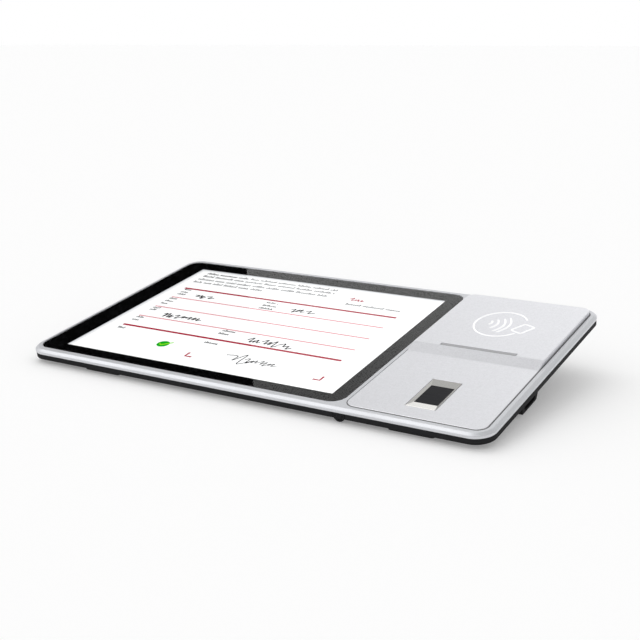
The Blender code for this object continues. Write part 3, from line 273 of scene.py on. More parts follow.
def make_dark_card():
    """An upright black card behind the pad, for reflections only."""
    mesh = bpy.data.meshes.new("dark_card")
    outline = [(CARD_LEFT, CARD_FOOT[1]), CARD_FOOT, CARD_HEAD, (CARD_LEFT, CARD_HEAD[1])]
    mesh.from_pydata([(x, CARD_DISTANCE, z) for x, z in outline], [], [(0, 1, 2, 3)])
    material, _, shader = new_material("dark_card")
    shader.inputs["Base Color"].default_value = (*CARD_COLOUR, 1.0)
    shader.inputs["Roughness"].default_value = 1.0
    shader.inputs["Specular IOR Level"].default_value = 0.0
    mesh.materials.append(material)
    card = link_object("dark_card", mesh)
    card.visible_camera = False
    card.visible_diffuse = False
    card.visible_shadow = False


make_dark_card()
print("dark card stands", CARD_DISTANCE, "m behind the pad")

# %% [markdown]
# ## Effects that several finishes share
#
# No real surface is one flat colour. A moulded or painted shell has a fine grain, hands leave patches
# that shine a little more or less, edges are polished by use, dust lies on what looks up, and rolled
# steel has lines. Each of these is a node group, built once and used by every finish that needs it with
# its own values. A group gives only masks and values: the shader itself stays in each material.

# %% Tools for node groups


def new_group(name, inputs, outputs):
    """An empty shader group: inputs are (name, default), and outputs are names, all plain numbers."""
    tree = bpy.data.node_groups.new(name, "ShaderNodeTree")
    for label, default in inputs:
        socket = tree.interface.new_socket(name=label, in_out="INPUT", socket_type="NodeSocketFloat")
        socket.default_value = default
    for label in outputs:
        tree.interface.new_socket(name=label, in_out="OUTPUT", socket_type="NodeSocketFloat")
    return tree, tree.nodes.new("NodeGroupInput"), tree.nodes.new("NodeGroupOutput")


def set_inputs(tree, node, values):
    """Gives each input of a node a link, if the value is a socket, or else the plain value."""
    for label, value in values.items():
        if isinstance(value, bpy.types.NodeSocket):
            tree.links.new(value, node.inputs[label])
        else:
            node.inputs[label].default_value = value


def add_math(tree, operation, first, second):
    """One sum on two values, each plain or from another node."""
    node = tree.nodes.new("ShaderNodeMath")
    node.operation = operation
    set_inputs(tree, node, {0: first, 1: second})
    return node.outputs[0]


def add_range(tree, value, from_low, from_high, to_low, to_high):
    """Maps a value from one range to another, and stops at the ends."""
    node = tree.nodes.new("ShaderNodeMapRange")
    ends = {"From Min": from_low, "From Max": from_high, "To Min": to_low, "To Max": to_high}
    set_inputs(tree, node, {"Value": value, **ends})
    return node.outputs["Result"]


def add_noise(tree, size, detail, stretch=(1.0, 1.0, 1.0)):
    """Noise whose patches are about this size, in metres on the pad."""
    place = tree.nodes.new("ShaderNodeTexCoord").outputs["Object"]
    squeeze = tree.nodes.new("ShaderNodeVectorMath")
    squeeze.operation = "MULTIPLY"
    set_inputs(tree, squeeze, {0: place, 1: stretch})
    noise = tree.nodes.new("ShaderNodeTexNoise")
    scale = add_math(tree, "DIVIDE", 1.0, size)
    set_inputs(tree, noise, {"Vector": squeeze.outputs[0], "Scale": scale, "Detail": detail})
    return noise.outputs["Fac"]


print("group tools are ready")

# %% [markdown]
# ## The five effects
#
# Grain is two sizes of noise together, because one alone looks like a pattern. Gloss is a broad noise
# whose result is a roughness between two ends. Polish finds outward edges by how sharply the surface
# bends, and breaks them up. Dust keeps to what looks up. Lines are a noise that is drawn out along X.
# Noise seldom leaves the middle of its range, so each effect spreads that middle part out.

# %% Build the shared effects


def build_fine_grain():
    """Grain of a painted or moulded surface: a height for bumps and a shade for the colour."""
    tree, given, result = new_group("fine_grain", [("Size", 0.0004)], ["Height", "Shade"])
    fine = add_noise(tree, given.outputs["Size"], 1.0)
    coarse = add_noise(tree, add_math(tree, "MULTIPLY", given.outputs["Size"], 2.6), 2.0)
    fine_part = add_math(tree, "MULTIPLY", fine, 0.65)
    both = add_math(tree, "ADD", fine_part, add_math(tree, "MULTIPLY", coarse, 0.35))
    tree.links.new(both, result.inputs["Height"])
    tree.links.new(add_range(tree, both, 0.36, 0.64, 0.0, 1.0), result.inputs["Shade"])
    return tree


def build_handled_gloss():
    """Broad patches where hands made a surface shinier or duller: a roughness between two ends."""
    ends = [("Size", 0.03), ("Shiny", 0.3), ("Dull", 0.4)]
    tree, given, result = new_group("handled_gloss", ends, ["Roughness"])
    patches = add_noise(tree, given.outputs["Size"], 3.0)
    rough = add_range(tree, patches, 0.35, 0.65, given.outputs["Shiny"], given.outputs["Dull"])
    tree.links.new(rough, result.inputs["Roughness"])
    return tree


def build_edge_polish():
    """A mask of outward edges, broken up by noise, where use has polished the finish."""
    tree, given, result = new_group("edge_polish", [("Amount", 1.0)], ["Mask"])
    bend = tree.nodes.new("ShaderNodeNewGeometry").outputs["Pointiness"]
    edges = add_range(tree, bend, 0.5, 0.58, 0.0, 1.0)
    broken = add_range(tree, add_noise(tree, 0.004, 2.0), 0.3, 0.7, 0.4, 1.0)
    mask = add_math(tree, "MULTIPLY", add_math(tree, "MULTIPLY", edges, broken), given.outputs["Amount"])
    tree.links.new(mask, result.inputs["Mask"])
    return tree


def build_settled_dust():
    """A faint mask on what looks upward, in specks, where dust settles."""
    tree, given, result = new_group("settled_dust", [("Amount", 0.1)], ["Mask"])
    split = tree.nodes.new("ShaderNodeSeparateXYZ")
    tree.links.new(tree.nodes.new("ShaderNodeNewGeometry").outputs["Normal"], split.inputs[0])
    upward = add_range(tree, split.outputs["Z"], 0.3, 1.0, 0.0, 1.0)
    specks = add_range(tree, add_noise(tree, 0.0011, 4.0), 0.55, 0.75, 0.0, 1.0)
    mask = add_math(tree, "MULTIPLY", add_math(tree, "MULTIPLY", upward, specks), given.outputs["Amount"])
    tree.links.new(mask, result.inputs["Mask"])
    return tree


def build_rolled_lines():
    """Lines along X, as rolled or brushed metal has: a height and a shade."""
    tree, given, result = new_group("rolled_lines", [("Size", 0.0003)], ["Height", "Shade"])
    lines = add_noise(tree, given.outputs["Size"], 2.0, (0.03, 1.0, 1.0))
    tree.links.new(lines, result.inputs["Height"])
    tree.links.new(add_range(tree, lines, 0.3, 0.7, 0.0, 1.0), result.inputs["Shade"])
    return tree


GRAIN = build_fine_grain()
GLOSS = build_handled_gloss()
POLISH = build_edge_polish()
DUST = build_settled_dust()
LINES = build_rolled_lines()
print(f"{len(bpy.data.node_groups)} shared effects")

# %% [markdown]
# ## How a finish is put together
#
# Each finish is one Principled shader. Its colour moves between two close colours with the grain, its
# roughness comes from the handling, and a small bump gives the grain its feel. A value that is the same
# all over, such as how metallic it is, is set on the shader itself.

# %% Tools for finishes
POLISH_AMOUNT = 0.6
GRAIN_STRENGTH = 0.5
DUST_COLOUR = (0.45, 0.44, 0.43)


def use_group(tree, group, values, output):
    """Places a shared effect in a material with its own values, and returns one of its outputs."""
    node = tree.nodes.new("ShaderNodeGroup")
    node.node_tree = group
    set_inputs(tree, node, values)
    return node.outputs[output]


def mix_colours(tree, mask, first, second):
    """A colour between two, by a mask. Each is a plain colour or another mix's output."""
    node = tree.nodes.new("ShaderNodeMix")
    node.data_type = "RGBA"
    tree.links.new(mask, node.inputs["Factor"])
    for socket, colour in ((node.inputs[6], first), (node.inputs[7], second)):
        if isinstance(colour, bpy.types.NodeSocket):
            tree.links.new(colour, socket)
        else:
            socket.default_value = (*colour, 1.0)
    return node.outputs[2]


def bump(tree, shader, height, distance, strength):
    """A small relief from a height, whose full step is this distance."""
    node = tree.nodes.new("ShaderNodeBump")
    node.inputs["Distance"].default_value = distance
    node.inputs["Strength"].default_value = strength
    tree.links.new(height, node.inputs["Height"])
    tree.links.new(node.outputs["Normal"], shader.inputs["Normal"])


def grained(name, dark, light, shiny, dull, size, depth, metallic=0.0, polished=None, dusty=0.0):
    """A finish with a fine grain, handled gloss, and if asked polished edges and settled dust.

    Shiny and dull are roughness values, and the grain's size and depth are in metres.
    """
    material, tree, shader = new_material(name)
    shader.inputs["Metallic"].default_value = metallic
    colour = mix_colours(tree, use_group(tree, GRAIN, {"Size": size}, "Shade"), dark, light)
    if polished:
        edges = use_group(tree, POLISH, {"Amount": POLISH_AMOUNT}, "Mask")
        colour = mix_colours(tree, edges, colour, polished)
    if dusty:
        colour = mix_colours(tree, use_group(tree, DUST, {"Amount": dusty}, "Mask"), colour, DUST_COLOUR)
    tree.links.new(colour, shader.inputs["Base Color"])
    rough = use_group(tree, GLOSS, {"Shiny": shiny, "Dull": dull}, "Roughness")
    tree.links.new(rough, shader.inputs["Roughness"])
    bump(tree, shader, use_group(tree, GRAIN, {"Size": size}, "Height"), depth, GRAIN_STRENGTH)
    return material


print("finish tools are ready")

# %% [markdown]
# ## The finishes
#
# The frame is aluminium under a satin anodised skin, and the control panel is plastic with silver paint.
# In both, some light is scattered before metal turns it back, so they are drawn as about half metal. The
# paint's roughness stays at 0.28 or more: where it fell below about 0.27 in places, the denoiser took
# those patches for edges and left faint lines like cracks. The base is black moulded plastic with a fine
# texture, and the feet are rubber, which is duller still. Black ink under glass has no gleam of its own,
# and textured black plastic has next to none.

# %% Mix the solid finishes
FINISHES = {
    "silver_frame": grained(
        "anodised_silver", (0.67, 0.68, 0.705), (0.75, 0.76, 0.79), 0.38, 0.46, 0.00030, 0.00002, 0.45
    ),
    "silver_paint": grained(
        "silver_paint", (0.825, 0.83, 0.86), (0.905, 0.91, 0.945), 0.28, 0.33, 0.0008, 0.000006, 0.5
    ),
    "black_plastic": grained(
        "textured_black", (0.016, 0.016, 0.017), (0.026, 0.026, 0.027), 0.42, 0.55, 0.00035, 0.00004,
        polished=(0.03, 0.03, 0.032), dusty=0.10,
    ),
    "black_rubber": grained(
        "foot_rubber", (0.010, 0.010, 0.010), (0.019, 0.019, 0.019), 0.75, 0.9, 0.0005, 0.00006,
        polished=(0.04, 0.04, 0.04), dusty=0.25,
    ),
    # painted shade: a dark band in the panel's groove, where there is only shade
    "groove_shade_dark": grained(
        "groove_shade_dark", (0.09, 0.09, 0.093), (0.12, 0.12, 0.123), 0.6, 0.7, 0.0005, 0.00002
    ),
    "bright_metal": grained(
        "bright_metal", (0.78, 0.77, 0.745), (0.84, 0.83, 0.80), 0.10, 0.17, 0.0006, 0.00001, 1.0
    ),
    "frosted_bar": grained(
        "frosted_bar", (0.38, 0.38, 0.395), (0.43, 0.43, 0.445), 0.45, 0.55, 0.0005, 0.00002
    ),
    "rating_film": grained(
        "rating_film", (0.52, 0.52, 0.53), (0.60, 0.60, 0.61), 0.40, 0.55, 0.0007, 0.00001, dusty=0.2
    ),
    "cable_film": grained(
        "cable_film", (0.26, 0.11, 0.025), (0.36, 0.16, 0.04), 0.30, 0.42, 0.0008, 0.00001
    ),
    "circuit_board": grained(
        "circuit_board", (0.012, 0.075, 0.035), (0.022, 0.12, 0.055), 0.30, 0.45, 0.0012, 0.00003
    ),
    "black_ink": grained(
        "border_ink", (0.0030, 0.0030, 0.0034), (0.0050, 0.0050, 0.0056), 0.35, 0.45, 0.0008, 0.00001
    ),
}
for label, gleam in (("black_ink", 0.0), ("black_plastic", 0.02)):
    shader = FINISHES[label].node_tree.nodes["Principled BSDF"]
    shader.inputs["Specular IOR Level"].default_value = gleam
print(f"{len(FINISHES)} solid finishes")

# %% [markdown]
# Rolled steel is metal with long fine lines in it, which the plating follows. It has its own recipe.
# Clear glass is also different: light goes through it, and only faint smudges make its shine vary. The
# cover has a coating against glare, so its index is set below that of bare glass and it mirrors less.

# %% Mix steel and glass
ROLL_SIZE = 0.00025
GLASS_IOR = 1.17
PANE_GLEAM = 0.06


def make_rolled_steel():
    """Plated steel with fine lines along X in its colour and its relief."""
    material, tree, shader = new_material("plated_steel")
    shader.inputs["Metallic"].default_value = 1.0
    shade = use_group(tree, LINES, {"Size": ROLL_SIZE}, "Shade")
    colour = mix_colours(tree, shade, (0.46, 0.46, 0.47), (0.60, 0.60, 0.61))
    tree.links.new(colour, shader.inputs["Base Color"])
    rough = use_group(tree, GLOSS, {"Size": 0.012, "Shiny": 0.28, "Dull": 0.42}, "Roughness")
    tree.links.new(rough, shader.inputs["Roughness"])
    bump(tree, shader, use_group(tree, LINES, {"Size": ROLL_SIZE}, "Height"), 0.00001, 0.4)
    return material


def make_clear_glass(name, tint, smudge):
    """Glass that light goes through. Smudges make its roughness vary a very little."""
    material, tree, shader = new_material(name)
    shader.inputs["Transmission Weight"].default_value = 1.0
    shader.inputs["IOR"].default_value = GLASS_IOR
    shade = use_group(tree, GRAIN, {"Size": 0.004}, "Shade")
    paler = tuple(min(1.0, value * 1.02) for value in tint)
    tree.links.new(mix_colours(tree, shade, tint, paler), shader.inputs["Base Color"])
    rough = use_group(tree, GLOSS, {"Size": 0.02, "Shiny": 0.0, "Dull": smudge}, "Roughness")
    tree.links.new(rough, shader.inputs["Roughness"])
    return material


def make_sensor_glass():
    """The reader's window: dark glass over a sensor whose fine rows show a little."""
    material, tree, shader = new_material("sensor_glass")
    shader.inputs["Specular IOR Level"].default_value = PANE_GLEAM
    rows = use_group(tree, LINES, {"Size": 0.0004}, "Shade")
    colour = mix_colours(tree, rows, (0.010, 0.010, 0.012), (0.018, 0.018, 0.021))
    tree.links.new(colour, shader.inputs["Base Color"])
    rough = use_group(tree, GLOSS, {"Size": 0.008, "Shiny": 0.06, "Dull": 0.2}, "Roughness")
    tree.links.new(rough, shader.inputs["Roughness"])
    return material


FINISHES["plated_steel"] = make_rolled_steel()
FINISHES["cover_glass"] = make_clear_glass("cover_glass", (0.97, 0.975, 0.975), 0.02)
FINISHES["sensor_glass"] = make_sensor_glass()
print(f"{len(FINISHES)} finishes so far")

# %% [markdown]
# ## The lit display and its inks
#
# A display gives its own light, so its material glows, a little above full white because the cover takes
# a part. Along its left and back edges a soft grey shade is painted into the glow, where the border above
# it would hide some of the light. What the display draws glows too, in its own colour. The white print on
# the panel gets a faint painted glow as well, though ink gives no light: the paint round it is so bright
# that white ink alone would hardly show.

# %% Mix the display's light
SCREEN_LOW, SCREEN_HIGH = pad_box("display_panel")
SCREEN_LEVEL = 1.28
PAINTED_SHADE_WIDTH = 0.0042
PAINTED_SHADE_CURVE = 0.6
CELL_BORDER = 0.003
CELL_SIZE = 0.0006
PAINTED_PRINT_GLOW = 0.30


def glow(tree, shader, colour):
    """Makes a shader give the display's light in the colour that a node puts out, with no gleam."""
    tree.links.new(colour, shader.inputs["Emission Color"])
    shader.inputs["Emission Strength"].default_value = SCREEN_LEVEL
    shader.inputs["Base Color"].default_value = (0.0, 0.0, 0.0, 1.0)
    shader.inputs["Specular IOR Level"].default_value = 0.0
    rough = use_group(tree, GLOSS, {"Shiny": 0.5, "Dull": 0.6}, "Roughness")
    tree.links.new(rough, shader.inputs["Roughness"])


def make_lit_display():
    """The display's white, with a painted shade along the left and back edges, measured in the pad's frame.
    """
    material, tree, shader = new_material("lit_display")
    level = tree.nodes.new("ShaderNodeMapping")
    level.vector_type = "TEXTURE"
    level.inputs["Location"].default_value = PAD.to_translation()
    level.inputs["Rotation"].default_value = PAD.to_euler()
    tree.links.new(tree.nodes.new("ShaderNodeTexCoord").outputs["Object"], level.inputs["Vector"])
    place = tree.nodes.new("ShaderNodeSeparateXYZ")
    tree.links.new(level.outputs["Vector"], place.inputs[0])
    left, back = SCREEN_LOW.x + CELL_BORDER, SCREEN_HIGH.y - CELL_BORDER
    from_left = add_range(tree, place.outputs["X"], left, left + PAINTED_SHADE_WIDTH, 0.0, 1.0)
    from_back = add_range(tree, place.outputs["Y"], back, back - PAINTED_SHADE_WIDTH, 0.0, 1.0)
    both = add_math(tree, "MULTIPLY", from_left, from_back)
    unshaded_part = add_math(tree, "POWER", both, PAINTED_SHADE_CURVE)
    cells = use_group(tree, GRAIN, {"Size": CELL_SIZE}, "Shade")
    clear = mix_colours(tree, cells, (0.955, 0.958, 0.965), (0.985, 0.987, 0.99))
    # painted shade: the glow turns grey (0.55, 0.56, 0.58) towards the left and back edges
    glow(tree, shader, mix_colours(tree, unshaded_part, (0.55, 0.56, 0.58), clear))
    return material


def make_screen_ink(name, colour):
    """A drawn colour on the display. The display's fine cells make it vary a little."""
    material, tree, shader = new_material(name)
    cells = use_group(tree, GRAIN, {"Size": CELL_SIZE}, "Shade")
    paler = tuple(min(1.0, value * 1.15 + 0.004) for value in colour)
    glow(tree, shader, mix_colours(tree, cells, colour, paler))
    return material


FINISHES["lit_display"] = make_lit_display()
INKS = {
    "grey": make_screen_ink("screen_grey", (0.13, 0.13, 0.135)),
    "black": make_screen_ink("screen_black", (0.002, 0.002, 0.003)),
    "red": make_screen_ink("screen_red", (0.34, 0.003, 0.026)),
    "pale_red": make_screen_ink("screen_pale_red", (0.62, 0.24, 0.27)),
    "green": make_screen_ink("screen_green", (0.004, 0.33, 0.012)),
    "lime": make_screen_ink("screen_lime", (0.20, 0.62, 0.01)),
}
PANEL_PRINT = grained("white_print", (0.93, 0.93, 0.93), (0.97, 0.97, 0.97), 0.45, 0.6, 0.0006, 0.000004)
# painted light: the white print glows a little, though ink gives no light of its own
print_shader = PANEL_PRINT.node_tree.nodes["Principled BSDF"]
print_shader.inputs["Emission Color"].default_value = WHITE
print_shader.inputs["Emission Strength"].default_value = PAINTED_PRINT_GLOW
print(f"{len(INKS)} display inks and one white print")

# %% [markdown]
# ## Outlines and edges
#
# Every shell of the pad is a rounded rectangle that changes a little with height. So one tool draws the
# outline, and the others describe an edge as a list of (inset, height) steps from the bottom up: a round,
# a softened corner, a flared mouth or a straight wall.

# %% Tools for outlines and edges
CORNER_STEPS = 16
HAIR = 0.00001


def region_of(low, high, radius, grow=0.0):
    """A rectangle with round corners, as (left, right, front, back, radius), from two corners."""
    return (low.x - grow, high.x + grow, low.y - grow, high.y + grow, radius + grow)


def ring(region, inset, steps=CORNER_STEPS):
    """Points round the rectangle, anticlockwise from its right front corner."""
    left, right, front, back, radius = region
    radius = max(radius - inset, HAIR)
    left, right, front, back = left + inset, right - inset, front + inset, back - inset
    corners = ((right, front, -1, 1), (right, back, -1, -1), (left, back, 1, -1), (left, front, 1, 1))
    points = []
    for quarter, (x, y, across, along) in enumerate(corners):
        for step in range(steps + 1):
            turn = math.pi / 2 * (quarter - 1 + step / steps)
            cx, cy = x + across * radius, y + along * radius
            points.append((cx + radius * math.cos(turn), cy + radius * math.sin(turn)))
    return points


def round_over(radius, top, steps):
    """Steps of an outward edge that is rounded up to the top."""
    turns = [math.pi / 2 * step / steps for step in range(steps + 1)]
    return [(radius * (1 - math.cos(turn)), top - radius * (1 - math.sin(turn))) for turn in turns]


def round_under(radius, under, steps):
    """Steps of an edge that is rounded from the underside, from the bottom up."""
    return [(inset, 2 * under - height) for inset, height in reversed(round_over(radius, under, steps))]


def softened(path, reach, steps=5):
    """A path of (inset, height) points whose inner corners become short curves."""
    soft = [path[0]]
    for before, here, after in zip(path, path[1:], path[2:]):
        corner = Vector(here)
        back = (Vector(before) - corner).normalized() * reach
        ahead = (Vector(after) - corner).normalized() * reach
        for step in range(steps + 1):
            share = step / steps
            soft.append(tuple(corner + back * (1 - share) ** 2 + ahead * share ** 2))
    return soft + [path[-1]]


def flared(radius, top, over):
    """The top steps of a cutter whose mouth flares, so that the rim it leaves is rounded."""
    mouth = [(-inset, height + HAIR) for inset, height in round_over(radius, top, 4)]
    return mouth + [(-radius, top + over)]


def straight(across, start, end):
    """Two steps with nothing but a straight wall between them."""
    return [(across, start), (across, end)]


print("outline and edge tools are ready")

# %% [markdown]
# ## Skins
#
# A skin is stretched through outlines at different heights, as cloth over the hoops of a lantern. With an
# edge from the tools above it makes a plate. With circles in place of the rectangles it makes a turned
# part, either upright like a screw or level like the microphone's cap.

# %% Tools for skins


def stretch(mesh, rings, closed=False):
    """A skin through rings of points. If closed, it returns to the first ring, or else has two caps."""
    rows = [[mesh.verts.new(point) for point in each] for each in rings]
    count = len(rows[0])
    pairs = list(zip(rows, rows[1:])) + ([(rows[-1], rows[0])] if closed else [])
    for lower, upper in pairs:
        for i in range(count):
            j = (i + 1) % count
            mesh.faces.new((lower[i], lower[j], upper[j], upper[i]))
    if not closed:
        mesh.faces.new(list(reversed(rows[0])))
        mesh.faces.new(rows[-1])


def make_object(name, mesh):
    """An object from a finished bmesh, with its faces turned outward."""
    bmesh.ops.recalc_face_normals(mesh, faces=mesh.faces)
    data = bpy.data.meshes.new(name)
    mesh.to_mesh(data)
    mesh.free()
    return link_object(name, data)


def plate(name, region, levels, steps=CORNER_STEPS):
    """A plate through (inset, height) levels, from the bottom up."""
    mesh = bmesh.new()
    stretch(mesh, [[(x, y, z) for x, y in ring(region, inset, steps)] for inset, z in levels])
    return make_object(name, mesh)


def turned(name, places, profile, sides=32):
    """(radius, height) points turned about an upright axis at each place, with flat ends."""
    mesh = bmesh.new()
    turns = [math.tau * i / sides for i in range(sides)]
    for x, y in places:
        rows = [[(x + r * math.cos(a), y + r * math.sin(a), z) for a in turns] for r, z in profile]
        stretch(mesh, rows)
    return make_object(name, mesh)


def turned_along_y(name, x, z, profile, sides):
    """(radius, y) points turned about a level axis that runs front to back, with flat ends."""
    mesh = bmesh.new()
    turns = [math.tau * i / sides for i in range(sides)]
    stretch(mesh, [[(x + r * math.cos(a), y, z + r * math.sin(a)) for a in turns] for r, y in profile])
    return make_object(name, mesh)


def block(name, low, high):
    """A plain box between two corners."""
    mesh = bmesh.new()
    bmesh.ops.create_cube(mesh, size=1.0)
    size = [b - a for a, b in zip(low, high)]
    middle = [(a + b) / 2 for a, b in zip(low, high)]
    turn = Matrix.Translation(middle) @ Matrix.Diagonal((*size, 1.0))
    bmesh.ops.transform(mesh, matrix=turn, verts=mesh.verts)
    return make_object(name, mesh)


print("skin tools are ready")

# %% [markdown]
# ## Cutting, joining and dressing
#
# A shell is made as a machinist makes it: a plain body first, and then one tool after another is cut out
# of it or joined to it. Each cut is applied at once, so the next one starts from a finished mesh. When a
# piece is done, dressing moves it from the pad's own frame to its leaning place on the desk, gives it
# its finish, and hides the solids that it stands for. Edges stay sharp in the shading and flat faces stay
# flat, so that reflections run straight.

# %% Tools to cut, join and dress a piece
SMOOTH_ANGLE = math.radians(32)


def carve(piece, tool, operation="DIFFERENCE"):
    """Cuts a tool from a piece or joins it on, for good, and removes the tool."""
    change = piece.modifiers.new(operation.lower(), "BOOLEAN")
    change.operation = operation
    change.solver = "EXACT"
    change.object = tool
    bpy.context.view_layer.update()
    changed = piece.evaluated_get(bpy.context.evaluated_depsgraph_get())
    data = bpy.data.meshes.new_from_object(changed)
    piece.modifiers.clear()
    old = piece.data
    piece.data = data
    bpy.data.meshes.remove(old)
    bpy.data.objects.remove(tool)


def shade_edges(piece):
    """Smooth shading up to real edges, with flat faces kept flat."""
    piece.data.shade_smooth()
    piece.data.set_sharp_from_angle(angle=SMOOTH_ANGLE)
    weigh = piece.modifiers.new("flat_faces", "WEIGHTED_NORMAL")
    weigh.keep_sharp = True


def dress(piece, finish, nodes=(), body="root"):
    """Puts a piece in the pad's frame, gives it its finish, and hides the solids that it stands for."""
    piece.data.materials.clear()
    piece.data.materials.append(finish)
    shade_edges(piece)
    piece.data.transform(PAD)
    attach(piece, body)
    if nodes:
        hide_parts(*nodes)
    print(f"{piece.name}: {len(piece.data.polygons)} faces")


# %% [markdown]
# ## The silver frame
#
# On the real pad this is one long aluminium part. It has a flat top, then a slope that falls outward, and
# a short upright lip below that. Each of the three mirrors another part of the studio, so each gets its
# own grey. The corners between them are short curves, and the foot of the lip is cut back a little, so
# that a dark line parts it from the base. Two pockets hold the glass and the panel. Their rims have a
# small round of their own, because a knife edge would look drawn rather than made. The panel's groove is
# narrow beside the glass and wide in front. Posts on the underside take the base's screws.

# %% Make the silver frame
FRAME_HEIGHT = 0.0032
FOOT_RUN, FOOT_RISE = 0.0002, 0.0004
SLOPE_RUN, SLOPE_DROP = 0.00185, 0.0015
FRAME_SOFT = 0.00035
BODY_RADIUS = 0.0125
GLASS_RADIUS = 0.009
PANEL_RADIUS = 0.0065
SEAT_GAP = 0.0003
PANEL_GROOVE = 0.0008
NARROW_GROOVE = 0.0002
FRONT_GROOVE = 0.0012
RIM_ROUND = 0.0003
LEDGE_WIDTH = 0.002
LEDGE_DROP, LEDGE_THICK = 0.0002, 0.0014
PANEL_SEAT = -0.0019
FRAME_WALL = 0.0022
OVERRUN = 0.001
POST_INSET = 0.0046
POST_X_SHARES = (-0.46, -0.16, 0.16, 0.46)
POST_RADIUS, POST_FOOT, POST_HEAD = 0.0022, -0.0044, -0.0020
PILOT_RADIUS, PILOT_FOOT, PILOT_HEAD = 0.0014, -0.0054, -0.0026

BODY_LOW, BODY_HIGH = pad_box("top_frame")
BODY = region_of(BODY_LOW, BODY_HIGH, BODY_RADIUS)
GLASS_LOW, GLASS_HIGH = pad_box("cover_glass")
PANEL_LOW, PANEL_HIGH = pad_box("control_panel")
MASK_LOW, MASK_HIGH = pad_box("bezel_mask")
LEDGE_TOP = MASK_LOW.z - LEDGE_DROP
LEDGE_UNDER = LEDGE_TOP - LEDGE_THICK
POST_PLACES = [
    ((BODY_HIGH.x - BODY_LOW.x) * share, y)
    for y in (POST_INSET, BODY_HIGH.y - POST_INSET)
    for share in POST_X_SHARES
]


def panel_pocket():
    """The panel's pocket in the frame: its groove is narrow beside the glass and wide in front."""
    left, right, front, back, radius = region_of(PANEL_LOW, PANEL_HIGH, PANEL_RADIUS, PANEL_GROOVE)
    return left + PANEL_GROOVE - NARROW_GROOVE, right, front + PANEL_GROOVE - FRONT_GROOVE, back, radius


def make_frame():
    """The frame's body, its two pockets and openings, its hollow underside and its posts."""
    lip = [(FOOT_RUN, -FRAME_HEIGHT), (0.0, -FRAME_HEIGHT + FOOT_RISE)]
    slope = [(0.0, -SLOPE_DROP), (SLOPE_RUN, 0.0), (SLOPE_RUN + FRAME_SOFT * 2, 0.0)]
    piece = plate("frame_shell", BODY, lip + softened([lip[-1]] + slope, FRAME_SOFT)[1:])
    glass = region_of(GLASS_LOW, GLASS_HIGH, GLASS_RADIUS)
    panel = region_of(PANEL_LOW, PANEL_HIGH, PANEL_RADIUS)
    glass_seat = region_of(GLASS_LOW, GLASS_HIGH, GLASS_RADIUS, SEAT_GAP)
    mouth = flared(RIM_ROUND, 0.0, OVERRUN)
    through = straight(LEDGE_WIDTH, -FRAME_HEIGHT - OVERRUN, OVERRUN)
    carve(piece, plate("glass_pocket", glass_seat, [(0.0, LEDGE_TOP)] + mouth))
    carve(piece, plate("panel_pocket", panel_pocket(), [(0.0, PANEL_SEAT)] + mouth))
    carve(piece, plate("display_opening", glass, through))
    carve(piece, plate("panel_opening", panel, through))
    relief = straight(FRAME_WALL, -FRAME_HEIGHT - OVERRUN, LEDGE_UNDER)
    carve(piece, plate("underside", BODY, relief))
    posts = turned("posts", POST_PLACES, straight(POST_RADIUS, POST_FOOT, POST_HEAD))
    carve(piece, posts, "UNION")
    carve(piece, turned("pilots", POST_PLACES, straight(PILOT_RADIUS, PILOT_FOOT, PILOT_HEAD)))
    dress(piece, FINISHES["silver_frame"], ["top_frame"])


make_frame()

# %% [markdown]
# ## The glass and what lies under it
#
# The cover is one clear plate with a finely ground edge. The black border is printed on its back, which
# is why the border looks deep and why it mirrors the studio. The display starts just below it.

# %% Make the glass, the border and the display
GROUND_EDGE = 0.00005
GLASS_ROUND = 0.00025
SCREEN_RADIUS, SCREEN_ROUND = 0.0008, 0.0002
WINDOW_RADIUS = 0.0006
WINDOW_LEFT, WINDOW_RIGHT = 0.0176, 0.0107
WINDOW_FRONT, WINDOW_BACK = 0.0104, 0.0122
WINDOW = (
    GLASS_LOW.x + WINDOW_LEFT,
    GLASS_HIGH.x - WINDOW_RIGHT,
    GLASS_LOW.y + WINDOW_FRONT,
    GLASS_HIGH.y - WINDOW_BACK,
    WINDOW_RADIUS,
)


def make_glass():
    """The clear cover, ground a little below and rounded above."""
    region = region_of(GLASS_LOW, GLASS_HIGH, GLASS_RADIUS)
    under = [(GROUND_EDGE, GLASS_LOW.z), (0.0, GLASS_LOW.z + GROUND_EDGE)]
    piece = plate("clear_cover", region, under + round_over(GLASS_ROUND, 0.0, 6))
    dress(piece, FINISHES["cover_glass"], ["cover_glass"])


def make_border():
    """A flat band with the window open in it, drawn as one skin that returns to its start."""
    outer = region_of(GLASS_LOW, GLASS_HIGH, GLASS_RADIUS)
    under, top = MASK_LOW.z, MASK_HIGH.z
    mesh = bmesh.new()
    rings = []
    for region, z in ((outer, under), (outer, top), (WINDOW, top), (WINDOW, under)):
        rings.append([(x, y, z) for x, y in ring(region, 0.0)])
    stretch(mesh, rings, closed=True)
    dress(make_object("black_border", mesh), FINISHES["black_ink"], ["bezel_mask"])


def make_screen():
    """The display, a thin plate with soft edges."""
    region = region_of(SCREEN_LOW, SCREEN_HIGH, SCREEN_RADIUS)
    levels = round_under(SCREEN_ROUND, SCREEN_LOW.z, 2) + round_over(SCREEN_ROUND, SCREEN_HIGH.z, 2)
    piece = plate("lit_screen", region, levels, 4)
    dress(piece, FINISHES["lit_display"], ["display_panel"])


make_glass()
make_border()
make_screen()
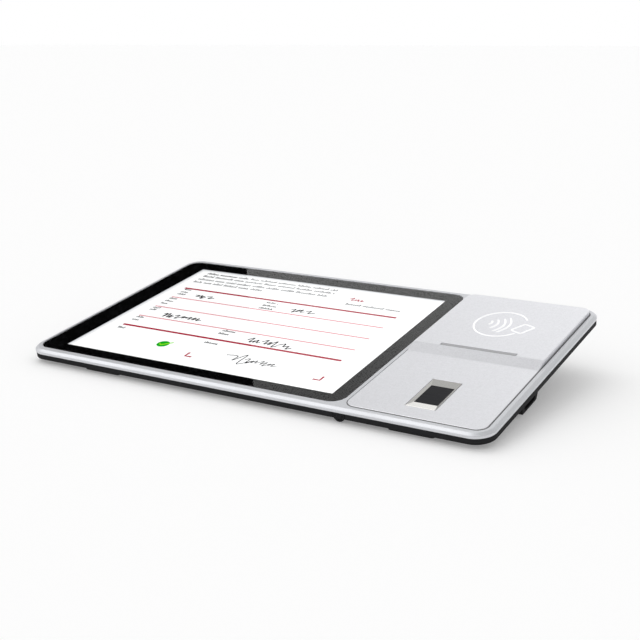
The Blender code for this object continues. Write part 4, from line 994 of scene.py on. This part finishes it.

# %% [markdown]
# ## The control panel
#
# The panel is one moulded part: flat in front, then a short ramp, then a higher rear half that makes room
# for the card reader's coil. It is drawn flat, cut into strips across the ramp, and lifted by a height
# that depends on Y alone. The ramp meets both flats in a soft curve, as moulded parts do. A thin dark band
# of painted shade lies in the groove round it, for the shade that falls there. Without it, a look into the
# groove would end on bright metal.

# %% Make the control panel
RAMP_FOOT, RAMP_HEAD = 0.0869, 0.0956
RAMP_BLEND = 0.0008
BLEND_STEPS = 4
PANEL_ROUND = 0.0005
PANEL_WALL = 0.0025
PANEL_UNDER = PANEL_LOW.z
RAISE = PANEL_HIGH.z
HOLLOW_ROOF = RAISE + PANEL_UNDER
HOLLOW_GAP = 0.0002
MOUTH_ROUND = 0.0002
BAR_RADIUS, BAR_ROUND = 0.0004, 0.0003
READER_TRIM = 0.0010
OPENING_RADIUS = 0.0002
GROOVE_SHADE_DROP, GROOVE_SHADE_DEEP, GROOVE_SHADE_SLACK = 0.0002, 0.0012, 0.00005
BAR_LOW, BAR_HIGH = pad_box("light_bar")
READER_LOW, READER_HIGH = pad_box("fingerprint_surround")


def reader_outline(radius, grow=0.0):
    """The reader's outline in the panel, whose right edge stands in a little."""
    left, right, front, back, radius = region_of(READER_LOW, READER_HIGH, radius, grow)
    return left, right - READER_TRIM, front, back, radius


def rise(y):
    """How far the panel's top stands above the glass at this distance from the front."""
    slope = RAISE / (RAMP_HEAD - RAMP_FOOT)
    if y <= RAMP_FOOT - RAMP_BLEND:
        return 0.0
    if y < RAMP_FOOT + RAMP_BLEND:
        return slope * (y - RAMP_FOOT + RAMP_BLEND) ** 2 / (4 * RAMP_BLEND)
    if y <= RAMP_HEAD - RAMP_BLEND:
        return slope * (y - RAMP_FOOT)
    if y < RAMP_HEAD + RAMP_BLEND:
        return RAISE - slope * (RAMP_HEAD + RAMP_BLEND - y) ** 2 / (4 * RAMP_BLEND)
    return RAISE


def lifted_plate(name, region, levels):
    """A plate whose upper rings are lifted by the ramp."""
    mesh = bmesh.new()
    stretch(mesh, [[(x, y, z) for x, y in ring(region, inset)] for inset, z in levels])
    for bend in (RAMP_FOOT, RAMP_HEAD):
        for step in range(-BLEND_STEPS, BLEND_STEPS + 1):
            place = (0.0, bend + RAMP_BLEND * step / BLEND_STEPS, 0.0)
            parts = mesh.verts[:] + mesh.edges[:] + mesh.faces[:]
            bmesh.ops.bisect_plane(mesh, geom=parts, plane_co=place, plane_no=(0.0, 1.0, 0.0))
    for vertex in mesh.verts:
        if vertex.co.z > levels[0][1] + HAIR:
            vertex.co.z += rise(vertex.co.y)
    return make_object(name, mesh)


def make_panel():
    """The lifted panel, with the coil's hollow, the light bar's slot and the reader's opening cut in."""
    region = region_of(PANEL_LOW, PANEL_HIGH, PANEL_RADIUS)
    piece = lifted_plate("panel_shell", region, [(0.0, PANEL_UNDER)] + round_over(PANEL_ROUND, 0.0, 6))
    left, right, _, back, radius = region_of(PANEL_LOW, PANEL_HIGH, PANEL_RADIUS, -PANEL_WALL)
    hollow = (left, right, RAMP_HEAD + HOLLOW_GAP, back, radius)
    carve(piece, plate("hollow", hollow, straight(0.0, PANEL_UNDER - OVERRUN, HOLLOW_ROOF)))
    slot = region_of(BAR_LOW, BAR_HIGH, BAR_RADIUS, SEAT_GAP)
    mouth = flared(MOUTH_ROUND, RAISE, OVERRUN)
    carve(piece, plate("light_slot", slot, [(0.0, HOLLOW_ROOF - OVERRUN)] + mouth))
    opening = reader_outline(OPENING_RADIUS, SEAT_GAP)
    mouth = flared(MOUTH_ROUND, 0.0, OVERRUN)
    carve(piece, plate("opening", opening, [(0.0, PANEL_UNDER - OVERRUN)] + mouth))
    dress(piece, FINISHES["silver_paint"], ["control_panel"])


def make_groove_shade():
    """A thin dark band of painted shade in the groove between the panel and the frame, a little below both.
    """
    inner, outer = region_of(PANEL_LOW, PANEL_HIGH, PANEL_RADIUS), panel_pocket()
    mesh = bmesh.new()
    sides = ((inner, -GROOVE_SHADE_DEEP), (inner, -GROOVE_SHADE_DROP), (outer, -GROOVE_SHADE_DROP), (outer, -GROOVE_SHADE_DEEP))
    stretch(mesh, [[(x, y, z) for x, y in ring(region, GROOVE_SHADE_SLACK)] for region, z in sides], closed=True)
    dress(make_object("groove_shade_band", mesh), FINISHES["groove_shade_dark"])


def make_light_bar():
    """The narrow frosted bar that fills the slot at the top of the ramp."""
    region = region_of(BAR_LOW, BAR_HIGH, BAR_RADIUS)
    piece = plate("frosted_light_bar", region, [(0.0, BAR_LOW.z)] + round_over(BAR_ROUND, BAR_HIGH.z, 5))
    dress(piece, FINISHES["frosted_bar"], ["light_bar"])


make_panel()
make_groove_shade()
make_light_bar()

# %% [markdown]
# ## The fingerprint reader
#
# A bright metal surround slopes in on four sides to guide the finger. Its long slopes at the ends and its
# steeper slopes at the sides mirror different parts of the studio, so each has its own grey. The
# surround is one closed skin: up the outside, over a small edge, down the slope and back under. Each
# step of the edge is how far the left, the right and the ends stand in, and its height. The well is
# shallow, because in a deeper one the right slope mirrors nothing but the dark pane.

# %% Make the fingerprint reader
READER_RADIUS = 0.0003
READER_DROP = 0.0008
LEFT_SLOPE, RIGHT_SLOPE, END_SLOPE = 0.0020, 0.0017, 0.0067
EDGE_STEPS = (
    ((0.0, 0.0, 0.0), -0.00015),
    ((0.00005, 0.00005, 0.0001), -0.00002),
    ((0.0002, 0.0002, 0.0004), -0.00006),
)
PANE_SINK = 0.0001
PANE_ROUND = 0.0001
SENSOR_LOW, _ = pad_box("fingerprint_window")


def drawn_in(region, left_in, right_in, ends_in):
    """A region whose left side, right side and two ends stand in by these amounts."""
    left, right, front, back, radius = region
    return left + left_in, right - right_in, front + ends_in, back - ends_in, radius


def make_reader():
    """The surround as one closed skin, and the sensor's pane at the foot of its slopes."""
    outer = reader_outline(READER_RADIUS)
    throat = drawn_in(outer, LEFT_SLOPE, RIGHT_SLOPE, END_SLOPE)
    edge = [(drawn_in(outer, *sides), height) for sides, height in EDGE_STEPS]
    skin = [(outer, READER_LOW.z)] + edge + [(throat, -READER_DROP), (throat, READER_LOW.z)]
    mesh = bmesh.new()
    stretch(mesh, [[(x, y, z) for x, y in ring(region, 0.0, 4)] for region, z in skin], closed=True)
    piece = make_object("bright_surround", mesh)
    dress(piece, FINISHES["bright_metal"], ["fingerprint_surround"])
    levels = [(0.0, SENSOR_LOW.z)] + round_over(PANE_ROUND, -READER_DROP - PANE_SINK, 3)
    piece = plate("sensor_pane", throat, levels, 4)
    dress(piece, FINISHES["sensor_glass"], ["fingerprint_window"])


make_reader()

# %% [markdown]
# ## The base shell
#
# The base is a shallow black tray. From the front only its band shows, but it is a whole part: bosses
# meet the frame's posts, deep bores take the screws from below, a round seat in the front wall holds the
# microphone, and a slot lets the flat cable down into the port housing. The places of the smaller screws
# are measured on the solids.

# %% Make the base shell
BASE_LOW, BASE_HIGH = pad_box("base_shell")
BASE_UNDER = BASE_LOW.z
BASE_RADIUS = 0.0122
BASE_ROUND = 0.0005
BASE_WALL = 0.0018
BASE_FLOOR = 0.0013
FLOOR_TOP = BASE_UNDER + BASE_FLOOR
JOIN_DEPTH = 0.0004
BOSS_RADIUS, BOSS_TOP = 0.004, -0.0047
BOARD_POST_RADIUS, BOARD_POST_RISE = 0.002, 0.0007
BOARD_PILOT_RADIUS, BOARD_PILOT_RISE = 0.0012, 0.0017
BORE_RADIUS, BORE_FLARE, BORE_DEPTH, BORE_TOP = 0.0027, 0.0002, 0.0014, -0.0037
CABLE_FRONT, CABLE_BACK = 0.0627, 0.0629
MIC_SIDES = 64
MIC_LOW, MIC_HIGH = pad_box("microphone_cap")
MIC_RADIUS = (MIC_HIGH.x - MIC_LOW.x) / 2
MIC_X = (MIC_HIGH.x + MIC_LOW.x) / 2
MIC_Z = MIC_LOW.z + MIC_RADIUS


def places_of(prefix, count):
    """The centres of numbered screws, in the pad's own frame."""
    boxes = [pad_box(f"{prefix}_{number}") for number in range(1, count + 1)]
    return [((low.x + high.x) / 2, (low.y + high.y) / 2) for low, high in boxes]


def screw_bore():
    """The profile of a bore from below: a flared mouth, room for the head, and a hole for the shank."""
    mouth = BASE_UNDER + BORE_FLARE
    seat = BASE_UNDER + BORE_DEPTH
    profile = straight(BORE_RADIUS + BORE_FLARE, BASE_UNDER - OVERRUN, BASE_UNDER - HAIR)
    return profile + straight(BORE_RADIUS, mouth, seat) + straight(PILOT_RADIUS, seat, BORE_TOP)


def make_base():
    """The tray with its bosses and posts, and every hole that goes through it."""
    outer = region_of(BASE_LOW, BASE_HIGH, BASE_RADIUS)
    piece = plate("base_tray", outer, round_under(BASE_ROUND, BASE_UNDER, 6) + [(0.0, BASE_HIGH.z)])
    carve(piece, plate("hollow", outer, straight(BASE_WALL, FLOOR_TOP, BASE_HIGH.z + OVERRUN)))
    foot = BASE_UNDER + JOIN_DEPTH
    board_places = places_of("board_screw", 4)
    carve(piece, turned("bosses", POST_PLACES, straight(BOSS_RADIUS, foot, BOSS_TOP)), "UNION")
    post = straight(BOARD_POST_RADIUS, foot, FLOOR_TOP + BOARD_POST_RISE)
    carve(piece, turned("board_posts", board_places, post), "UNION")
    carve(piece, turned("bores", POST_PLACES, screw_bore()))
    pilot = straight(BOARD_PILOT_RADIUS, foot, FLOOR_TOP + BOARD_PILOT_RISE)
    carve(piece, turned("board_pilots", board_places, pilot))
    hung = places_of("port_screw", 4) + places_of("bracket_screw", 4)
    pilot = straight(PILOT_RADIUS, BASE_UNDER - OVERRUN, FLOOR_TOP + OVERRUN)
    carve(piece, turned("hung_pilots", hung, pilot))
    seat = straight(MIC_RADIUS + SEAT_GAP, -OVERRUN, MIC_HIGH.y + SEAT_GAP)
    carve(piece, turned_along_y("mic_seat", MIC_X, MIC_Z, seat, MIC_SIDES))
    cable_low, cable_high = pad_box("port_ribbon")
    gap = Vector((SEAT_GAP, SEAT_GAP, 0.0))
    low = Vector((cable_low.x, CABLE_FRONT, BASE_UNDER - OVERRUN)) - gap
    high = Vector((cable_high.x, CABLE_BACK, FLOOR_TOP + OVERRUN)) + gap
    carve(piece, block("cable_slot", low, high))
    dress(piece, FINISHES["black_plastic"], ["base_shell"])


make_base()

# %% [markdown]
# ## The microphone cap
#
# A round black cap sits in the base's front wall with one hole in the middle and a half ring of holes
# round it. Its top is cut flat where the frame passes over it. Its face has a small round edge that
# catches a thin line of light.

# %% Make the microphone cap
MIC_ROUND = 0.0004
MIC_FACE = 0.0009
MIC_WALL = 0.0008
MIC_HOLES = 5
MIC_HOLE_RADIUS = 0.00045
MIC_HOLE_RING = 0.0024


def cut_top(piece, height):
    """Cuts off all of a round piece at the microphone that is above this height."""
    side = MIC_RADIUS + OVERRUN
    low = (MIC_X - side, 0.0, height)
    high = (MIC_X + side, MIC_HIGH.y + side, MIC_Z + side)
    carve(piece, block("flat", low, high))


def make_microphone():
    """The cap: turned, cut flat on top, hollowed from behind, and drilled from the front."""
    face = MIC_LOW.y
    profile = [(MIC_RADIUS - inset, y) for inset, y in round_under(MIC_ROUND, face, 5)]
    profile.append((MIC_RADIUS, MIC_HIGH.y))
    piece = turned_along_y("microphone_grille", MIC_X, MIC_Z, profile, MIC_SIDES)
    cut_top(piece, MIC_HIGH.z)
    inside = straight(MIC_RADIUS - MIC_WALL, face + MIC_FACE, MIC_HIGH.y + OVERRUN)
    room = turned_along_y("room", MIC_X, MIC_Z, inside, MIC_SIDES)
    cut_top(room, MIC_HIGH.z - MIC_WALL)
    carve(piece, room)
    holes = [(MIC_X, MIC_Z)]
    for step in range(MIC_HOLES):
        turn = math.pi * (1 + step / (MIC_HOLES - 1))
        holes.append((MIC_X + MIC_HOLE_RING * math.cos(turn), MIC_Z + MIC_HOLE_RING * math.sin(turn)))
    drill = straight(MIC_HOLE_RADIUS, face - OVERRUN, face + MIC_FACE + OVERRUN)
    for x, z in holes:
        carve(piece, turned_along_y("hole", x, z, drill, 24))
    dress(piece, FINISHES["black_plastic"], ["microphone_cap"])


make_microphone()

# %% [markdown]
# ## The screws
#
# Every screw of the pad is the same kind: a low round head with a cross recess. The head's rim is
# rounded, the cross gets narrower as it goes in, and the shank ends in a short point. Each one is built
# from its solid's own box, so a screw of any length comes out of the same lines. A row of the list says
# which screws are meant, how many there are, how high the head is, and the shank's radius.

# %% Make the screws
SCREWS = [
    ("base_screw", 8, 0.0011, 0.0011),
    ("board_screw", 4, 0.0011, 0.0009),
    ("port_screw", 4, 0.0011, 0.0009),
    ("bracket_screw", 4, 0.0008, 0.0009),
]
HEAD_ROUND = 0.0003
POINT_LENGTH, POINT_SHARE = 0.0006, 0.4
CROSS_DEPTH = 0.0006
CROSS_TAPER = 0.7
CROSS_ARM_SHARE = 0.3
CROSS_LENGTH_SHARE = 0.62


def cross_points(x, y, arm, reach):
    """The twelve corners of a cross, with arms this wide that reach this far."""
    near = arm / 2
    quarter = [(reach, -near), (reach, near), (near, near)]
    points = []
    for turn in range(4):
        spin = Matrix.Rotation(math.pi / 2 * turn, 2)
        points += [tuple(Vector((x, y)) + spin @ Vector(place)) for place in quarter]
    return points


def make_screw(node, head_height, shank):
    """A screw in its solid's box. The board screws look up, and all others look down."""
    low, high = pad_box(node)
    x, y = (low.x + high.x) / 2, (low.y + high.y) / 2
    radius = (high.x - low.x) / 2
    upward = node.startswith("board")
    crown, tip = (high.z, low.z) if upward else (low.z, high.z)
    inward = -1.0 if upward else 1.0
    rim = round_under(HEAD_ROUND, 0.0, 4)
    seat = crown + inward * head_height
    profile = [(radius - inset, crown + inward * depth) for inset, depth in rim] + [(radius, seat)]
    profile += straight(shank, seat, tip - inward * POINT_LENGTH) + [(shank * POINT_SHARE, tip)]
    piece = turned(f"fine_{node}", [(x, y)], profile)
    mesh = bmesh.new()
    arm, reach = radius * CROSS_ARM_SHARE, radius * CROSS_LENGTH_SHARE
    rings = []
    for share, depth in ((CROSS_TAPER, CROSS_DEPTH), (1.0, 0.0), (1.0, -OVERRUN)):
        corners = cross_points(x, y, arm * share, reach * share)
        rings.append([(a, b, crown + inward * depth) for a, b in corners])
    stretch(mesh, rings)
    carve(piece, make_object("cross", mesh))
    dress(piece, FINISHES["plated_steel"], [node])


for prefix, count, head_height, shank in SCREWS:
    for number in range(1, count + 1):
        make_screw(f"{prefix}_{number}", head_height, shank)

# %% [markdown]
# ## The pieces that keep their solids
#
# The feet, the port housing, the stand and all that is inside have the right shape already. Each keeps
# its solid and gets its finish, and a narrow bevel softens its edges: no moulded or stamped part has an
# edge without any width, and a line of light along an edge is what makes it look real.

# %% Dress the pieces that keep their solids
KEPT = {
    "black_rubber": ["front_foot_left", "front_foot_right", "stand_shoe"],
    "black_plastic": ["port_housing", "stand_plate", "fingerprint_module"],
    "plated_steel": [
        "hinge_bracket_left", "hinge_bracket_right", "hinge_pin_left", "hinge_pin_right", "backlight_tray",
        "chassis_plate", "processor_shield", "microphone_capsule", "usb_socket",
    ],
    "circuit_board": ["pen_sensor_board", "antenna_board", "light_bar_board", "main_board", "port_board"],
    "cable_film": ["display_ribbon", "fingerprint_ribbon", "antenna_ribbon", "port_ribbon"],
    "rating_film": ["rating_plate"],
}
BEVELS = {
    "front_foot_left": 0.0004, "front_foot_right": 0.0004, "stand_shoe": 0.0004, "port_housing": 0.0003,
    "stand_plate": 0.0002, "hinge_bracket_left": 0.00015, "hinge_bracket_right": 0.00015,
}
THIN_BEVEL = 0.00005


def soften(piece, width):
    """Joins a solid's triangles into flat faces, and then rounds its edges by this width."""
    weld = piece.modifiers.new("weld", "WELD")
    weld.merge_threshold = HAIR / 10
    flat = piece.modifiers.new("flat", "DECIMATE")
    flat.decimate_type = "DISSOLVE"
    flat.angle_limit = math.radians(0.5)
    bevel = piece.modifiers.new("soft_edges", "BEVEL")
    bevel.width = width
    bevel.segments = 3
    bevel.limit_method = "ANGLE"
    bevel.angle_limit = math.radians(35)
    bevel.harden_normals = True


for slot, names in KEPT.items():
    for node in names:
        solid = NODES[node]
        for place in solid.material_slots:
            place.material = FINISHES[slot]
        soften(solid, BEVELS.get(node, THIN_BEVEL))
    print(f"{slot}: {len(names)} solids kept")

# %% [markdown]
# ## What the display shows
#
# A sample form fills the display: a paragraph, ruled fields with small captions, answers in handwriting,
# a round green mark and a signature between two corner marks. All of it is made up. The letters are rows
# of small blocks of uneven height, which the eye takes for print at this size, and the handwriting is a
# line that travels to the right in uneven strokes. All of it is flat geometry, because a picture would
# need a file of its own.

# %% Tools for flat drawings


def flat_shape(mesh, points, height):
    """A flat polygon on the pad, from (x, y) points."""
    mesh.faces.new([mesh.verts.new((x, y, height)) for x, y in points])


def flat_line(mesh, points, width, height):
    """A line of this width through (x, y) points, in short straight pieces that share their ends."""
    path = [Vector(point) for point in points]
    sides = []
    for i, here in enumerate(path):
        ahead = (path[min(i + 1, len(path) - 1)] - path[max(i - 1, 0)]).normalized()
        across = Vector((-ahead.y, ahead.x)) * width / 2
        sides.append([mesh.verts.new((*(here + shift), height)) for shift in (across, -across)])
    for (a, b), (c, d) in zip(sides, sides[1:]):
        mesh.faces.new((a, b, d, c))


def finish_drawing(name, mesh, finish):
    """Turns a flat drawing up and puts it on the pad."""
    for face in mesh.faces:
        face.normal_update()
        if face.normal.z < 0:
            face.normal_flip()
    data = bpy.data.meshes.new(name)
    mesh.to_mesh(data)
    mesh.free()
    dress(link_object(name, data), finish)


print("flat drawing tools are ready")

# %% [markdown]
# ## Made-up print and handwriting
#
# Print and handwriting are recognised by their rhythm before any letter is read. Print keeps one height,
# with a tall letter now and then and a gap after each word. Handwriting goes up and down at uneven steps,
# and a smooth curve joins its turning points. Chance picks the steps, so nothing in it spells a word.

# %% Tools for print and handwriting
BLOCK_SHARE = 0.72
WORD_GAP = 0.45
SCRAWL_STEPS = 6


def print_line(mesh, chance, left, right, base, tall, height):
    """A line of made-up print: words of small upright blocks, with gaps between them."""
    x = left
    while x < right:
        word_end = min(x + tall * chance.uniform(2.0, 5.0), right)
        while x < word_end:
            wide = tall * chance.uniform(0.34, 0.54)
            top = base + tall * chance.choice((0.6, 0.6, 0.68, 1.0))
            block_end = x + wide * BLOCK_SHARE
            flat_shape(mesh, [(x, base), (block_end, base), (block_end, top), (x, top)], height)
            x += wide
        x += tall * WORD_GAP


def scrawl(chance, left, right, base, tall, strokes):
    """Points of made-up handwriting: uneven strokes up and down, joined by smooth curves."""
    reach = (right - left) / strokes
    marks = [Vector((left - reach * 0.4, base + tall * 0.4))]
    for stroke in range(strokes):
        x = left + reach * stroke
        up = chance.choice((0.45, 0.55, 0.6, 0.7, 1.0))
        down = chance.choice((0.0, 0.0, 0.06, 0.2, -0.25))
        marks.append(Vector((x + reach * chance.uniform(0.4, 0.9), base + tall * up)))
        marks.append(Vector((x + reach * chance.uniform(0.3, 0.8), base + tall * down)))
    marks.append(Vector((right + reach * 0.6, base + tall * 0.3)))
    ends = [marks[0]] + marks + [marks[-1]]
    points = []
    for a, b, c, d in zip(ends, ends[1:], ends[2:], ends[3:]):
        for step in range(SCRAWL_STEPS):
            t = step / SCRAWL_STEPS
            square, cube = 2 * a - 5 * b + 4 * c - d, 3 * b - a - 3 * c + d
            bend = 2 * b + (c - a) * t + square * t ** 2 + cube * t ** 3
            points.append(tuple(bend / 2))
    return points


print("print and handwriting tools are ready")

# %% [markdown]
# ## The rules of the form
#
# Every place on the form is measured from the window's front left corner. The drawing lies a twentieth of
# a millimetre above the display, so that the two never share a surface. A line that is less than a pixel
# wide breaks up into dashes, so the rules are drawn a little wider than life.

# %% Draw the rules
FORM_LEFT, FORM_FRONT = WINDOW[0], WINDOW[2]
FORM_HEIGHT = SCREEN_HIGH.z + 0.00005
RULE_LEFT, RULE_RIGHT = 0.0113, 0.1924
RULE_LEAN, RULE_LEAN_BACK = 0.026, 0.12
THICK_RULES, THICK_WIDTH = (0.0432, 0.1173), 0.0024
THIN_RULES, THIN_WIDTH, THIN_INSET = (0.0607, 0.0795, 0.0988), 0.0015, 0.002
BRACKETS, BRACKET_WIDTH = ((0.0912, 1), (0.1942, -1)), 0.0016
BRACKET_TOP, BRACKET_FOOT, BRACKET_ARM = 0.0192, 0.0137, 0.005


def form_point(x, y):
    """A place on the form, in the pad's own frame."""
    return FORM_LEFT + x, FORM_FRONT + y


def form_line(mesh, points, width):
    """A line through places on the form."""
    flat_line(mesh, [form_point(*point) for point in points], width, FORM_HEIGHT)


def draw_rules():
    """Two thick rules that start a little further in towards the front, thin ones, and two corners."""
    thick, thin = bmesh.new(), bmesh.new()
    for y in THICK_RULES:
        start = RULE_LEFT + (RULE_LEAN_BACK - y) * RULE_LEAN
        form_line(thick, [(start, y), (RULE_RIGHT, y)], THICK_WIDTH)
    for y in THIN_RULES:
        form_line(thin, [(RULE_LEFT + THIN_INSET, y), (RULE_RIGHT, y)], THIN_WIDTH)
    for x, side in BRACKETS:
        bracket = [(x, BRACKET_TOP), (x, BRACKET_FOOT), (x + side * BRACKET_ARM, BRACKET_FOOT)]
        form_line(thick, bracket, BRACKET_WIDTH)
    finish_drawing("form_rules", thick, INKS["red"])
    finish_drawing("form_thin_rules", thin, INKS["pale_red"])


draw_rules()

# %% [markdown]
# ## The print of the form
#
# A paragraph at the top opens with a few bold words. Below it stand two columns of short captions beside
# the fields. One random source with a fixed seed serves all of it, so the print comes out the same every
# time, and a line added in the middle would change all that follow.

# %% Set the print
FORM_SEED = 41
PRINT_TALL, CAPTION_TALL = 0.0034, 0.0028
PARAGRAPH = ((0.1482, 0.1274), (0.1424, 0.1274), (0.1360, 0.1250), (0.1300, 0.0724))
PARAGRAPH_LEFT = 0.0094
TITLE_END, TITLE_GAP = 0.0374, 0.002
CORNER_NOTE = (0.1464, 0.1914, 0.1274)
LEFT_CAPTIONS = (0.1137, 0.1089, 0.1044, 0.0949, 0.0899, 0.0849, 0.0759, 0.0719, 0.0569, 0.0519, 0.0365)
RIGHT_CAPTIONS = (0.1114, 0.1059, 0.1009, 0.0568, 0.0519, 0.0359)
CAPTIONS = (((0.0134, 0.0194), LEFT_CAPTIONS), ((0.0899, 0.1004), RIGHT_CAPTIONS))


def form_print(mesh, chance, left, right, y, tall):
    """A line of made-up print between two places on the form."""
    base = FORM_FRONT + y
    print_line(mesh, chance, FORM_LEFT + left, FORM_LEFT + right, base, tall, FORM_HEIGHT)


def draw_print():
    """A paragraph that opens with bold words, the captions in two columns, and a note at the right."""
    chance = random.Random(FORM_SEED)
    fine, bold = bmesh.new(), bmesh.new()
    for number, (y, right) in enumerate(PARAGRAPH):
        left = PARAGRAPH_LEFT
        if number == 0:
            form_print(bold, chance, left, TITLE_END, y, PRINT_TALL)
            left = TITLE_END + TITLE_GAP
        form_print(fine, chance, left, right, y, PRINT_TALL)
    for (left, right), rows in CAPTIONS:
        for y in rows:
            end = left + (right - left) * chance.uniform(0.7, 1.1)
            form_print(bold, chance, left, end, y, CAPTION_TALL)
    form_print(fine, chance, *CORNER_NOTE, PRINT_TALL)
    finish_drawing("form_print", fine, INKS["grey"])
    finish_drawing("form_captions", bold, INKS["black"])


draw_print()

# %% [markdown]
# ## The handwriting
#
# Someone has filled in the fields with a thick stylus and signed between the corner marks with a finer
# line. Each word is where it starts and ends, its line, its height and its number of strokes.

# %% Write the answers
ANSWERS = (
    (0.0304, 0.0385, 0.1045, 0.0070, 3),
    (0.0415, 0.0454, 0.1045, 0.0070, 1),
    (0.1158, 0.1250, 0.1040, 0.0070, 3),
    (0.1285, 0.1328, 0.1040, 0.0070, 1),
    (0.0309, 0.0385, 0.0660, 0.0072, 3),
    (0.0415, 0.0624, 0.0660, 0.0068, 6),
    (0.1170, 0.1250, 0.0475, 0.0072, 3),
    (0.1285, 0.1390, 0.0475, 0.0072, 3),
    (0.1420, 0.1497, 0.0475, 0.0058, 2),
)
SIGNATURE = ((0.1199, 0.1350, 0.0190, 0.0150, 2), (0.1340, 0.1564, 0.0200, 0.0070, 7))
FLOURISH = (0.1454, 0.1554, 0.1359, 0.0050, 4)
ANSWER_WIDTH, SIGNATURE_WIDTH, FLOURISH_WIDTH = 0.0011, 0.0008, 0.0010


def draw_handwriting():
    """Answers in the fields, a signature, and a small red flourish near the top."""
    chance = random.Random(FORM_SEED + 1)
    answers, signature, flourish = bmesh.new(), bmesh.new(), bmesh.new()
    for word in ANSWERS:
        form_line(answers, scrawl(chance, *word), ANSWER_WIDTH)
    for word in SIGNATURE:
        form_line(signature, scrawl(chance, *word), SIGNATURE_WIDTH)
    form_line(flourish, scrawl(chance, *FLOURISH), FLOURISH_WIDTH)
    finish_drawing("form_answers", answers, INKS["black"])
    finish_drawing("form_signature", signature, INKS["black"])
    finish_drawing("form_flourish", flourish, INKS["red"])


draw_handwriting()

# %% [markdown]
# ## The round mark
#
# A green disc with a paler tick is a sign that anyone reads as done. The tick lies a little above the
# disc, and its long arm runs out over the edge.

# %% Draw the round mark
MARK_PLACE = (0.0644, 0.0245)
MARK_RADIUS, MARK_SIDES = 0.0046, 40
TICK_REACH, TICK_WIDTH, TICK_LIFT = 0.6, 0.0016, 0.00003


def draw_round_mark():
    """The disc and the tick, as two pieces of different colour."""
    x, y = form_point(*MARK_PLACE)
    disc, tick = bmesh.new(), bmesh.new()
    radius = MARK_RADIUS
    turns = [math.tau * i / MARK_SIDES for i in range(MARK_SIDES)]
    flat_shape(disc, [(x + radius * math.cos(a), y + radius * math.sin(a)) for a in turns], FORM_HEIGHT)
    reach = radius * TICK_REACH
    bend = [(x - reach, y), (x - reach * 0.3, y - reach * 0.7), (x + radius * 1.25, y + radius * 0.9)]
    flat_line(tick, bend, TICK_WIDTH, FORM_HEIGHT + TICK_LIFT)
    finish_drawing("form_mark", disc, INKS["green"])
    finish_drawing("form_tick", tick, INKS["lime"])


draw_round_mark()

# %% [markdown]
# ## The printed tap mark
#
# The raised half shows where a card is held: a white ring with four bent lines for the radio waves, each
# taller than the one before it, and a plain tilted card where the ring is left open. It is printed flat
# on the paint, so it is drawn as flat lines just above the panel.

# %% Print the tap mark
TAP_CENTRE = Vector((PANEL_LOW.x + 0.0412, PANEL_LOW.y + 0.1335))
TAP_HEIGHT = RAISE + 0.00006
TAP_LINE = 0.0011
RING_HALF = (0.0168, 0.0200)
RING_OPENING = math.radians(34)
RING_STEPS = 72
WAVES = (
    (-0.0071, 0.0003, 0.0030),
    (-0.0041, -0.0010, 0.0070),
    (-0.0006, -0.0018, 0.0104),
    (0.0024, -0.0009, 0.0120),
)
WAVE_BULGE, WAVE_STEPS = 0.32, 8
TAP_CARD_CENTRE = TAP_CENTRE + Vector((0.0163, -0.0028))
TAP_CARD_SIZE = (0.0085, 0.0130)
TAP_CARD_CORNER = 0.0012
TAP_CARD_LEAN = math.radians(-24)


def ring_points():
    """Points round an upright oval that is left open to the right."""
    arc = math.tau - 2 * RING_OPENING
    turns = [RING_OPENING + arc * i / RING_STEPS for i in range(RING_STEPS + 1)]
    wide, tall = RING_HALF
    return [(TAP_CENTRE.x + wide * math.cos(a), TAP_CENTRE.y + tall * math.sin(a)) for a in turns]


def wave_points(across, along, half):
    """A line up the mark that bends out to the right in its middle."""
    shares = [step / WAVE_STEPS for step in range(-WAVE_STEPS, WAVE_STEPS + 1)]
    x, y = TAP_CENTRE.x + across, TAP_CENTRE.y + along
    return [(x + half * WAVE_BULGE * (1 - share ** 2), y + half * share) for share in shares]


def card_points():
    """The outline of a leaning card with round corners, with two points more to close the line."""
    points = []
    wide, deep = TAP_CARD_SIZE
    spin = Matrix.Rotation(TAP_CARD_LEAN, 2)
    for a, b in ((-1, -1), (1, -1), (1, 1), (-1, 1)):
        corner = Vector((a * wide, b * deep)) / 2
        for turn in range(5):
            swing = math.atan2(b, a) - math.pi / 4 + math.pi / 8 * turn
            inset = Vector((math.cos(swing) - a, math.sin(swing) - b)) * TAP_CARD_CORNER
            points.append(TAP_CARD_CENTRE + spin @ (corner + inset))
    return points + points[:2]


def print_tap_mark():
    """The ring, the waves and the card, as lines of one width in one piece."""
    mesh = bmesh.new()
    for points in (ring_points(), *(wave_points(*wave) for wave in WAVES), card_points()):
        flat_line(mesh, points, TAP_LINE, TAP_HEIGHT)
    finish_drawing("tap_mark", mesh, PANEL_PRINT)


print_tap_mark()
